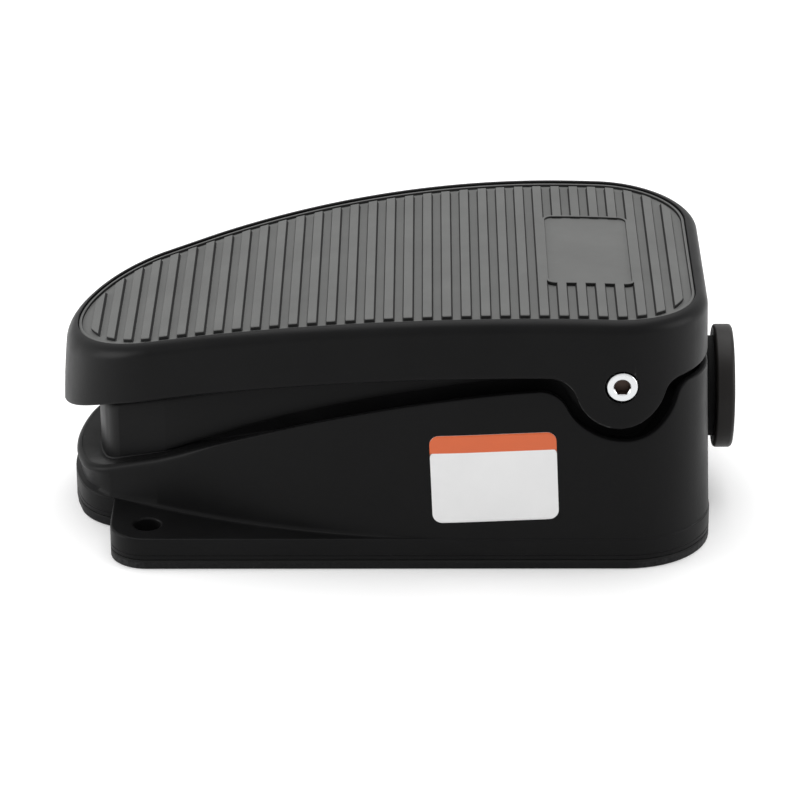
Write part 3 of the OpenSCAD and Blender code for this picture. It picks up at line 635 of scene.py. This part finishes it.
def on_arch(s, y, h):
    a = s / top_r
    return (crown_x + (web_r + h) * math.sin(a), y, top_cz + (web_r + h) * math.cos(a))


def arch(x, h):
    return top_cz + np.sqrt((web_r + h) ** 2 - (x - crown_x) ** 2)


rings = [ring(cols, pad_edge + tip_in, lambda x, h=h: arch(x, h)) for h in (-0.78, 0.45)]
for a in arc_steps(3)[1:]:
    rings.append(ring(cols, pad_edge + tip_in + 0.25 * (1 - math.cos(a)),
                      lambda x, a=a: arch(x, 0.45 + 0.25 * math.sin(a))))
for a in arc_steps(3):
    rings.append(ring(cols, pad_edge + tip_in + 0.9 - 0.25 * (1 - math.sin(a)),
                      lambda x, a=a: arch(x, 0.45 + 0.25 * math.cos(a))))
rings.append(ring(cols, pad_edge + tip_in + 0.95, lambda x: arch(x, 0.0)))
web = capped("web", rings, tread_half)

rib_outline = ring(cols, rib_in + tip_in, 0.0)[:tread_half, :2]


def rib_reach(s):
    x = crown_x + (web_r + rib_h) * math.sin(s / top_r)
    if not rib_outline[0, 0] < x < rib_outline[-1, 0]:
        return 0.0
    return float(np.interp(x, rib_outline[:, 0], rib_outline[:, 1]))


def rib(s0, s1, y0=None):
    """One rib with rounded long edges and ends; y0 starts it at the panel."""
    side = [0, 0.06, 0.14, 0.22, 0.3, 0.38, 0.46, 0.6, 0.8]
    wide = s1 - s0
    steps = [d for d in side if d < wide / 2 - 0.02]
    across = [d / wide for d in steps] + [0.5] + [1 - d / wide for d in reversed(steps)]
    n = len(across) - 1
    slope = 0.46
    verts, faces = [], []
    for k in across:
        s = s0 + (s1 - s0) * k
        off = min(s - s0, s1 - s)
        h = rib_h * (0.5 - 0.5 * math.cos(math.pi * min(1, off / slope)))
        reach = rib_reach(s)
        start = -reach if y0 is None else y0
        row = []
        middle = (start + reach) / 2
        end = ((0, None), (0, 0.45), (0.1, 0.16), (0.3, 0.03), (0.6, 0.0))
        for y, down in end:
            row.append((min(start + y, middle), -0.3 if down is None else h * (1 - down)))
        if y0 is not None:
            row = [(start, -0.3), (start, h)]
        for y, down in reversed(end):
            row.append((max(reach - y, middle), -0.3 if down is None else h * (1 - down)))
        verts += [on_arch(s, y, h) for y, h in row]
    w = len(row)
    for i in range(n):
        for j in range(w - 1):
            faces.append((i * w + j, (i + 1) * w + j, (i + 1) * w + j + 1, i * w + j + 1))
        faces.append((i * w, i * w + w - 1, (i + 1) * w + w - 1, (i + 1) * w))
    faces.append(tuple(range(w)))
    faces.append(tuple(n * w + j for j in reversed(range(w))))
    return make("rib", verts, faces)


panel_gaps, panel_w = 5, 44.6
panel_l = panel_gaps * rib_pitch - rib_w
panel_s = rib_shift + panel_gaps * rib_pitch / 2
ribs = []
for i in range(-30, 20):
    s = rib_shift + i * rib_pitch
    s0, s1 = s - rib_w / 2, s + rib_w / 2
    tries = [s0 + (s1 - s0) * k / 60 for k in range(61)]
    held = [t for t in tries if rib_reach(t) > 1.0]
    if not held:
        continue
    s0, s1 = held[0], held[-1]
    if s1 - s0 < 0.8:
        continue
    if abs(s - panel_s) < panel_l / 2:
        one = rib(s0, s1, panel_w / 2 - 0.4)
        other = rib(s0, s1, panel_w / 2 - 0.4)
        for v in other.data.vertices:
            v.co.y = -v.co.y
        other.data.flip_normals()
        ribs += [one, other]
    else:
        ribs.append(rib(s0, s1))


def rounded_ring(l, w, r, h, n=10):
    """A rounded rectangle on the arch, ordered from the toe side round by +Y."""
    r = max(r, 0.05)
    half = [(-l / 2, 0.0)]
    for i in range(1, 40):
        half.append((-l / 2, (w / 2 - r) * i / 40))
    half += [(-l / 2 + r - r * math.cos(a), w / 2 - r + r * math.sin(a)) for a in arc_steps(n)]
    for i in range(1, 20):
        half.append((-l / 2 + r + (l - 2 * r) * i / 20, w / 2))
    half += [(l / 2 - r + r * math.sin(a), w / 2 - r + r * math.cos(a)) for a in arc_steps(n)]
    for i in range(39, 0, -1):
        half.append((l / 2, (w / 2 - r) * i / 40))
    half.append((l / 2, 0.0))
    whole = half + [(s, -y) for s, y in half[-2:0:-1]]
    return np.array([on_arch(panel_s + s, y, h) for s, y in whole]), len(half)


steps = [(0, -0.3), (0, rib_h - 0.25)]
steps += [(0.25 * (1 - math.cos(a)), rib_h - 0.25 * (1 - math.sin(a))) for a in arc_steps(3)[1:]]
steps += [(0.75 - 0.2 * (1 - math.sin(a)), rib_h - 0.2 * (1 - math.cos(a))) for a in arc_steps(3)]
steps += [(0.8, 0.45), (0.9, 0.4)]
rings = []
for inset, h in steps:
    points, panel_half = rounded_ring(panel_l + 1.4 - 2 * inset, panel_w + 1 - 2 * inset,
                                      2.9 - inset, h)
    rings.append(points)
panel = capped("panel", rings, panel_half)
pad = joined("ribbed_pad", [web, *ribs, panel])
crisp(pad, 50)
wears(pad, "tread")
# Painted shade: the side walls of the ribs and the panel get a far darker copy of the rubber. It
# stands in for the shade between the ribs.
rib_side_shade = finish_of("tread_painted_shade", (0.016, 0.016, 0.016), 0.8, specular=0.2, bump=0.2)
pad.data.materials.append(rib_side_shade)
# Mask for the painted shade: faces part way up a rib that do not face up along the arch.
for p in pad.data.polygons:
    up = Vector((p.center.x / MM - crown_x, 0, p.center.z / MM - top_cz))
    h = math.hypot(up.x, up.z) - web_r
    p.material_index = int(0.03 < h < rib_h - 0.12 and p.normal.dot(up.normalized()) < 0.8)
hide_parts("tread_pad")
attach(pad, "treadle")

# ---- Base casting ------------------------------------------------------------------------

cols = base_cols
px = cols[:, 0]


def leaning(inset, z):
    return inset + (np.asarray(z, float) - floor_z) * draft


def side_gap():
    """How far the foot stands out past the wall, for the fillet at the wall's foot."""
    beside = half_w - np.abs(cols[:, 1])
    from_ear = (px - (ear_x - ear_r)) * 1.2
    gap = np.minimum(beside, from_ear)
    gap = np.where(px > base_arcs[2][0], 0, gap)
    return np.clip(gap - 0.5, 0.08, 1.1)


fillet = side_gap()
rim = base_rim(px)
groove = base_groove(px)
rings = [ring(cols, leaning(0.3, flange_h), floor_z + 0.2),
         ring(cols, 0.35, flange_h - 1.2),
         ring(cols, leaning(0, flange_h) - fillet, flange_h - 0.25)]
for a in arc_steps(5):
    rings.append(ring(cols, leaning(0, flange_h) - fillet * (1 - math.sin(a)),
                      flange_h + fillet * (1 - math.cos(a))))
lip = 0.45
foot_z = flange_h + fillet
neck = 1.1 * np.clip((toe_x + 15 - px) / 9, 0, 1)
deep = np.clip((rim - groove) / 0.9, 0, 1)
ease = 0.45 + 1.1 * (1 - deep)
for t in (0.03, 0.15, 0.4, 0.65, 0.85, 0.97):
    z = foot_z + (rim - ease - foot_z) * t
    rings.append(ring(cols, leaning(0, z) + neck * min(1, (1 - t) / 0.35) * min(1, t / 0.1), z))
for a in arc_steps(5):
    rings.append(ring(cols, leaning(0, rim) + ease * (1 - math.cos(a)),
                      rim - ease * (1 - math.sin(a))))
inner = lip * deep
for a in arc_steps(4):
    rings.append(ring(cols, leaning(lip_w, rim) - lip * (1 - math.sin(a)),
                      rim - inner * (1 - math.cos(a))))
bed = np.minimum(groove, rim - inner - 0.02)
rings.append(ring(cols, leaning(lip_w, rim) + 0.02, bed + 0.3 * deep))
rings.append(ring(cols, leaning(lip_w, rim) + 0.3, bed))
floor_in = leaning(ledge_w, rim) + 1.6 * np.clip((toe_x + 16 - px) / 12, 0, 1)
cut = 1.9 * np.clip((px - toe_x - 20) / 12, 0, 1)
wall_z = rim + 1.9 * np.clip((px - toe_x - 18) / 40, 0, 1) ** 0.7
rings.append(ring(cols, floor_in + cut - 0.3, bed))
rings.append(ring(cols, floor_in + cut, bed + 0.3))
roof = roof_z(ring(cols, floor_in, 0.0)[:, 0])
wall_z = np.minimum(wall_z, roof - 1.2)
wall_z = np.maximum(wall_z, bed + 0.35)
shoulder = np.clip((roof - wall_z) * 0.6, 0.3, 3.0)
rings.append(ring(cols, floor_in + cut, np.maximum(wall_z - 0.02, bed + 0.32)))
rings.append(ring(cols, floor_in + 0.3 * cut / 1.9, wall_z))
for t in (0.08, 0.35, 0.7, 1.0):
    z = wall_z + (roof - shoulder - wall_z) * t
    rings.append(ring(cols, floor_in, z))
for a in arc_steps(6)[1:]:
    inset = floor_in + shoulder * (1 - math.cos(a))
    p = ring(cols, inset, 0.0)
    rings.append(np.column_stack([p[:, :2], roof_z(p[:, 0]) - shoulder * (1 - math.sin(a))]))
inside = floor_in + base_wall


def base_solid():
    """The base as one closed skin: outside from the roof down, then the hollow up again."""
    outside = rings[::-1]
    under_groove = np.maximum(groove - base_wall, 11)
    hollow = [ring(cols, base_wall, floor_z + 0.2),
              ring(cols, leaning(base_wall, 9), 9.0),
              ring(cols, leaning(base_wall, groove), under_groove),
              ring(cols, inside, under_groove),
              ring(cols, inside, lambda x: roof_z(x, press_gap + 2.2))]
    return capped("base_body", outside + hollow, base_half)


body = base_solid()


def well(x, r, floor, hole):
    """A cup in the roof, open upwards: its rim follows the roof's slope just under it."""
    level = float(roof_z(x)) - 2
    w = r + 2.4
    obj = lathe("well", [(hole, floor - 3), (w - 0.5, floor - 3), (w, floor - 2.5), (w, level),
                         (r, level), (r, floor + 0.4), (r - 0.4, floor), (hole, floor),
                         (hole, floor - 3)], (x, 0, 0))
    for v in obj.data.vertices:
        if abs(v.co.z / MM - level) < 0.01:
            v.co.z = (float(roof_z(v.co.x / MM)) - 1.3) * MM
    return obj


WELLS = ((plunger_x, 9, hinge_z - 6.7, 4.95), (spring_x, 9.6, hinge_z - 16.8, 2),
         (stop_x, 8, hinge_z - 14.8, 4.6))
for x, r, floor, hole in WELLS:
    top = float(roof_z(x))
    carve(body, [lathe("cutter", [(0, floor - 0.01), (r, floor - 0.01), (r, top - 1.0),
                                  *[(r + 0.8 * (1 - math.cos(a)), top - 1.0 + 0.8 * math.sin(a))
                                    for a in arc_steps(4)[1:]],
                                  (r + 2.2, top + 4), (0, top + 4)], (x, 0, 0))])
entry_low, entry_high = box_mm("plug_seal")
entry_z = (entry_low[2] + entry_high[2]) / 2
carve(body, [lathe("cutter", [(0, heel_x - 12), (entry_r, heel_x - 12), (entry_r, heel_x + 8),
                              (0, heel_x + 8)], (0, 0, entry_z), "X")])
parts = [body] + [well(*w) for w in WELLS]
parts.append(lathe("entry_boss", [(entry_r, heel_x - 6), (14.2, heel_x - 6),
                                  (14.2, heel_x - 0.2),
                                  *round_corner(13.8, heel_x - 0.2, 0.4, 0, 90),
                                  (10.6, heel_x + 0.2), (entry_r, heel_x - 0.2),
                                  (entry_r, heel_x - 6)],
                   (0, 0, entry_z), "X"))
base_boss_y = boss_y - 0.8 - 0.3
for side in ("Y", "-Y"):
    parts.append(lathe("hinge_post", [(post_hole_r, base_boss_y - post_l),
                                      (post_r, base_boss_y - post_l),
                                      (post_r, base_boss_y - 0.5),
                                      *round_corner(post_r - 0.5, base_boss_y - 0.5, 0.5, 0, 90),
                                      (post_hole_r, base_boss_y),
                                      (post_hole_r, base_boss_y - post_l)],
                       (hinge_x, 0, hinge_z), side))

# The foot: the body's outline at the toe and heel, straight flanges and ears between them


def foot_outline():
    """Half of the foot's plan with normals, from the toe to the heel."""
    half = [tuple(c) for c in cols[:base_half]]
    front_x = ear_x - ear_r
    mid_y = half_w - ear_r
    nose = [c for c in half if c[0] < front_x]
    y0 = float(np.interp(front_x, [c[0] for c in half], [c[1] for c in half]))
    points = list(nose)
    for k in range(13):
        points.append((front_x, y0 + (mid_y - y0) * k / 12, -1.0, 0.0))
    for k in range(1, 19):
        a = math.pi - math.pi / 2 * k / 18
        points.append((ear_x + ear_r * math.cos(a), mid_y + ear_r * math.sin(a),
                       math.cos(a), math.sin(a)))
    end = [c for c in half if c[0] > base_arcs[2][0]]
    x = ear_x
    while x < end[0][0] - 2:
        x += 2
        points.append((x, half_w, 0.0, 1.0))
    points += end
    back = [(x, -y, nx, -ny) for x, y, nx, ny in points[-2:0:-1]]
    return np.array(points + back), len(points)


foot_cols, foot_half = foot_outline()
front = np.where(np.abs(foot_cols[:, 0] - (ear_x - ear_r)) < 1e-6)[0]
for i in (front[0], front[-1]):
    n = foot_cols[i, 2:] + foot_cols[i - 1 if i == front[0] else (i + 1) % len(foot_cols), 2:]
    foot_cols[i, 2:] = n / np.linalg.norm(n)
steps = [(base_wall + 1, floor_z), (0.25, floor_z), (0.0, floor_z + 0.25), (0.0, 3.55),
         (0.14, 3.7), (0.14, 3.8), (0.0, 3.95), (0.0, flange_h - 0.6)]
steps += [(0.6 * (1 - math.cos(a)), flange_h - 0.6 * (1 - math.sin(a))) for a in arc_steps(5)[1:]]
steps += [(base_wall + 1, flange_h)]


def foot_ring(inset, z):
    p = foot_cols[:, :2] - inset * foot_cols[:, 2:]
    return np.column_stack([p, np.full(len(p), z)])


foot_rings = [foot_ring(min(i, 0.9), z) for i, z in steps]
foot = capped("foot", foot_rings, foot_half)
hollow = [ring(cols, base_wall + 0.1, z) for z in (floor_z - 2, flange_h + 2)]
carve(foot, [capped("cutter", hollow, base_half)])
for side in (1, -1):
    hole = [(0, -1), (ear_hole_r, -1), (ear_hole_r, flange_h - 0.6)]
    hole += [(ear_hole_r + 0.6 * (1 - math.cos(a)), flange_h - 0.6 + 0.6 * math.sin(a))
             for a in arc_steps(4)[1:]]
    hole += [(4.15, flange_h + 2), (0, flange_h + 2)]
    carve(foot, [lathe("cutter", hole, (ear_x, side * ear_y, 0))])
parts.append(foot)
base = joined("base_casting", parts)
crisp(base)
wears(base, "housing")
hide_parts("base_housing")
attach(base, "base")

# ---- Hinge screws and plug ---------------------------------------------------------------

# Painted shade: the hex socket's walls and floor get a dark brown in place of the shade that fills
# the hole.
socket_shade = finish_of("socket_painted_shade", (0.07, 0.045, 0.035), 0.6, metallic=0.5, bump=0.3, vary=0.3)
for name, side in (("hinge_screw_far", "Y"), ("hinge_screw_near", "-Y")):
    head = [(0, base_boss_y - 9), (1.9, base_boss_y - 9), (2.35, base_boss_y - 8.4),
            (2.35, base_boss_y), (pivot_r, base_boss_y), (pivot_r, head_y), (head_r, head_y),
            *round_corner(3.52, head_y + 4.15, 0.45, 0, 90), (0, head_y + head_h)]
    screw = lathe(name, head, (hinge_x, 0, hinge_z), side)
    hexagon = lathe("cutter", [(0, head_y + 2.1), (2.25, head_y + 2.1), (2.25, head_y + 6),
                               (0, head_y + 6)], (hinge_x, 0, hinge_z), side, 6)
    cone = lathe("cutter", [(0, head_y + 4.3), (2.0, head_y + 4.3), (2.55, head_y + 4.85),
                            (0, head_y + 4.85)], (hinge_x, 0, hinge_z), side)
    carve(screw, [hexagon, cone])
    crisp(screw, 30)
    wears(screw, "screws")
    screw.data.materials.append(socket_shade)
    # Faces inside the hex socket take the painted shade.
    for p in screw.data.polygons:
        out = abs(p.center.y) / MM
        r = math.hypot(p.center.x / MM - hinge_x, p.center.z / MM - hinge_z)
        p.material_index = int(r < 2.3 and head_y + 2 < out < head_y + 4.4)
    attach(screw, "base")
    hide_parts("hinge_screws")

plug_low, plug_high = box_mm("conduit_plug")
plug_r = (plug_high[1] - plug_low[1]) / 2
plug_out = plug_high[0]
plug_in = plug_out - 5.1
profile = [(0, plug_low[0]), (9.65, plug_low[0]), (10.1, plug_low[0] + 0.45), (10.1, plug_in),
           (plug_r - 0.8, plug_in), *round_corner(plug_r - 0.8, plug_in + 0.8, 0.8, -90, 0),
           *round_corner(plug_r - 1.1, plug_out - 1.1, 1.1, 0, 90),
           (plug_r - 4.0, plug_out), (plug_r - 4.25, plug_out - 0.25),
           (plug_r - 4.6, plug_out - 0.35), (0, plug_out - 0.35)]
plug = crisp(lathe("entry_plug", profile, (0, 0, entry_z), "X", 128))
wears(plug, "plug")
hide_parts("conduit_plug")
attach(plug, "base")

# ---- Return spring -----------------------------------------------------------------------

coil_low, coil_high = box_mm("return_spring")
wire_r = 0.9
coil_r = (coil_high[1] - coil_low[1]) / 2 - wire_r
turns, per_turn, round_wire = 7, 48, 12
rise = coil_high[2] - coil_low[2] - 2 * wire_r
closed = 1.75
verts, faces = [], []
for i in range(turns * per_turn + 1):
    t = i / per_turn
    z = np.interp(t, [0, 1, turns - 1, turns], [0, closed, rise - closed, rise])
    a = 2 * math.pi * t
    for j in range(round_wire):
        b = 2 * math.pi * j / round_wire
        r = coil_r + wire_r * math.cos(b)
        verts.append((spring_x + r * math.cos(a), r * math.sin(a),
                      coil_low[2] + wire_r + z + wire_r * math.sin(b)))
for i in range(turns * per_turn):
    for j in range(round_wire):
        k = (j + 1) % round_wire
        faces.append((i * round_wire + j, i * round_wire + k, (i + 1) * round_wire + k,
                      (i + 1) * round_wire + j))
faces.append(tuple(range(round_wire)))
faces.append(tuple(turns * per_turn * round_wire + j for j in reversed(range(round_wire))))
spring = crisp(make("coil_spring", verts, faces), 50)
wears(spring, "spring")
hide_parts("return_spring")
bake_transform(spring)

# ---- Blank label -------------------------------------------------------------------------


def label():
    """A thin white sticker on the near wall, with an orange band along its top."""
    cx, cz = hinge_x - 32.4, 25.8
    w, h, r = 32.6, 24.4, 2.5
    turn = math.radians(-2.4)
    n_u, n_v = 64, 40
    band = 0.80
    verts, faces, marks = [], [], []
    us = sorted({*np.linspace(0, w, n_u + 1), *[r * (1 - math.cos(a)) for a in arc_steps(8)],
                 *[w - r * (1 - math.cos(a)) for a in arc_steps(8)]})

    def wall_y(x, z):
        points = ring(base_cols, leaning(0, z), 0.0)[:base_half]
        return -float(np.interp(x, points[:, 0], points[:, 1]))

    vs = sorted({*np.linspace(0, 1, n_v + 1), band})
    for depth in (0.09, -0.15):
        for u in us:
            cut = min(u, w - u)
            short = r - math.sqrt(max(0, r * r - (r - cut) ** 2)) if cut < r else 0.0
            for v in vs:
                t = short + (h - 2 * short) * v if v != band else h * band
                lu, lv = u - w / 2, t - h / 2
                x = cx + lu * math.cos(turn) + lv * math.sin(turn)
                z = cz - lu * math.sin(turn) + lv * math.cos(turn)
                verts.append((x, wall_y(x, z) - depth, z))
    nu, nv = len(us), len(vs)
    top = vs.index(band)
    for i in range(nu - 1):
        for j in range(nv - 1):
            a = i * nv + j
            faces.append((a, a + nv, a + nv + 1, a + 1))
            marks.append(1 if j >= top else 0)
            b = nu * nv + a
            faces.append((b + 1, b + nv + 1, b + nv, b))
            marks.append(0)
    rim_loop = [i * nv for i in range(nu)] + [(nu - 1) * nv + j for j in range(1, nv)]
    rim_loop += [i * nv + nv - 1 for i in range(nu - 2, -1, -1)] + list(range(nv - 2, 0, -1))
    for a, b in zip(rim_loop, rim_loop[1:] + rim_loop[:1]):
        faces.append((b, a, a + nu * nv, b + nu * nv))
        marks.append(0)
    mesh = bpy.data.meshes.new("blank_label")
    mesh.from_pydata([tuple(v) for v in np.array(verts) * MM], [], faces)
    for p, m in zip(mesh.polygons, marks):
        p.material_index = m
        p.use_smooth = True
    obj = bpy.data.objects.new("blank_label", mesh)
    bpy.context.scene.collection.objects.link(obj)
    return obj


sticker = label()
paper = finish_of("label_white", (0.86, 0.86, 0.86), 0.42, vary=0.02, grain=2500.0, bump=0.05)
orange = finish_of("label_orange", (0.70, 0.125, 0.03), 0.4, vary=0.04, grain=2500.0, bump=0.05)
sticker.data.materials.append(paper)
sticker.data.materials.append(orange)
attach(sticker, "base")

# ---- CAD nodes shown as they are ---------------------------------------------------------

slot_of = {s["node"]: s["material_slot"] for s in frame["record"]["subparts"]}
hidden = {"treadle", "tread_pad", "base_housing", "hinge_screws", "conduit_plug",
          "return_spring"}
for node, obj in frame["nodes"].items():
    if node in hidden:
        continue
    obj.data.materials.clear()
    obj.data.materials.append(MATERIALS[slot_of[node]])
    for p in obj.data.polygons:
        p.material_index = 0
    bevel = obj.modifiers.new("soft_edges", "BEVEL")
    bevel.width = 0.00015
    bevel.segments = 2
    bevel.limit_method = "ANGLE"
    bevel.angle_limit = math.radians(40)

# ---- Camera ------------------------------------------------------------------------------

cam_data = bpy.data.cameras.new("camera")
cam_data.lens = 182.1
cam_data.sensor_width = 36.0
cam_data.clip_start = 0.05
camera = bpy.data.objects.new("camera", cam_data)
camera.location = (0.0106, -0.9836, 0.4839)
aim = Matrix.Rotation(math.radians(0.45), 3, "Z") @ Matrix.Rotation(math.radians(65.0), 3, "X")
camera.rotation_euler = (aim @ Matrix.Rotation(math.radians(-0.25), 3, "Z")).to_euler()
bpy.context.scene.collection.objects.link(camera)
bpy.context.scene.camera = camera
bpy.context.scene.view_settings.view_transform = "Standard"

# ---- Light and floor ---------------------------------------------------------------------


def area_light(name, at, aim, size, power, size_y=None):
    data = bpy.data.lights.new(name, "AREA")
    data.shape = "RECTANGLE"
    data.size = size
    data.size_y = size_y or size
    data.energy = power
    lamp = bpy.data.objects.new(name, data)
    lamp.location = at
    lamp.rotation_euler = (Vector(aim) - Vector(at)).to_track_quat("-Z", "Y").to_euler()
    bpy.context.scene.collection.objects.link(lamp)
    return lamp


area_light("top_softbox", (0.0, 0.25, 0.9), (0.0, 0.0, 0.03), 1.0, 9.0)
area_light("left_softbox", (-0.9, -0.1, 0.22), (0.0, 0.0, 0.04), 0.5, 3.6, 0.4)
area_light("right_softbox", (0.9, -0.05, 0.25), (0.0, 0.0, 0.04), 0.5, 3.2, 0.5)

world = bpy.data.worlds.new("studio")
world.use_nodes = True
tree = world.node_tree
tree.nodes.clear()
path = tree.nodes.new("ShaderNodeLightPath")
seen = any_of(tree, path.outputs["Is Camera Ray"], path.outputs["Is Glossy Ray"],
              path.outputs["Is Transmission Ray"])
ambient = add(tree, "ShaderNodeBackground", Color=(1, 1, 1, 1), Strength=0.55)
backdrop = add(tree, "ShaderNodeBackground", Color=(1, 1, 1, 1), Strength=1.0)
pick = tree.nodes.new("ShaderNodeMixShader")
out = tree.nodes.new("ShaderNodeOutputWorld")
tree.links.new(seen, pick.inputs[0])
tree.links.new(ambient.outputs[0], pick.inputs[1])
tree.links.new(backdrop.outputs[0], pick.inputs[2])
tree.links.new(pick.outputs[0], out.inputs[0])
bpy.context.scene.world = world

floor_mesh = bpy.data.meshes.new("floor")
floor_mesh.from_pydata([(-6, -6, 0), (6, -6, 0), (6, 6, 0), (-6, 6, 0)], [], [(0, 1, 2, 3)])
floor = bpy.data.objects.new("floor", floor_mesh)
bpy.context.scene.collection.objects.link(floor)
floor.location.z = -0.0002
mat, tree = new_material("floor_paper")
path = tree.nodes.new("ShaderNodeLightPath")
seen = any_of(tree, path.outputs["Is Camera Ray"], path.outputs["Is Glossy Ray"])
paper = add(tree, "ShaderNodeBsdfDiffuse", Color=(0.86, 0.86, 0.86, 1))
glow = add(tree, "ShaderNodeEmission", Color=(1, 1, 1, 1), Strength=0.2)
none = add(tree, "ShaderNodeEmission", Color=(0, 0, 0, 1), Strength=0.0)
lift = tree.nodes.new("ShaderNodeMixShader")
both = tree.nodes.new("ShaderNodeAddShader")
out = tree.nodes.new("ShaderNodeOutputMaterial")
tree.links.new(seen, lift.inputs[0])
tree.links.new(none.outputs[0], lift.inputs[1])
tree.links.new(glow.outputs[0], lift.inputs[2])
tree.links.new(paper.outputs[0], both.inputs[0])
tree.links.new(lift.outputs[0], both.inputs[1])
tree.links.new(both.outputs[0], out.inputs[0])
floor_mesh.materials.append(mat)
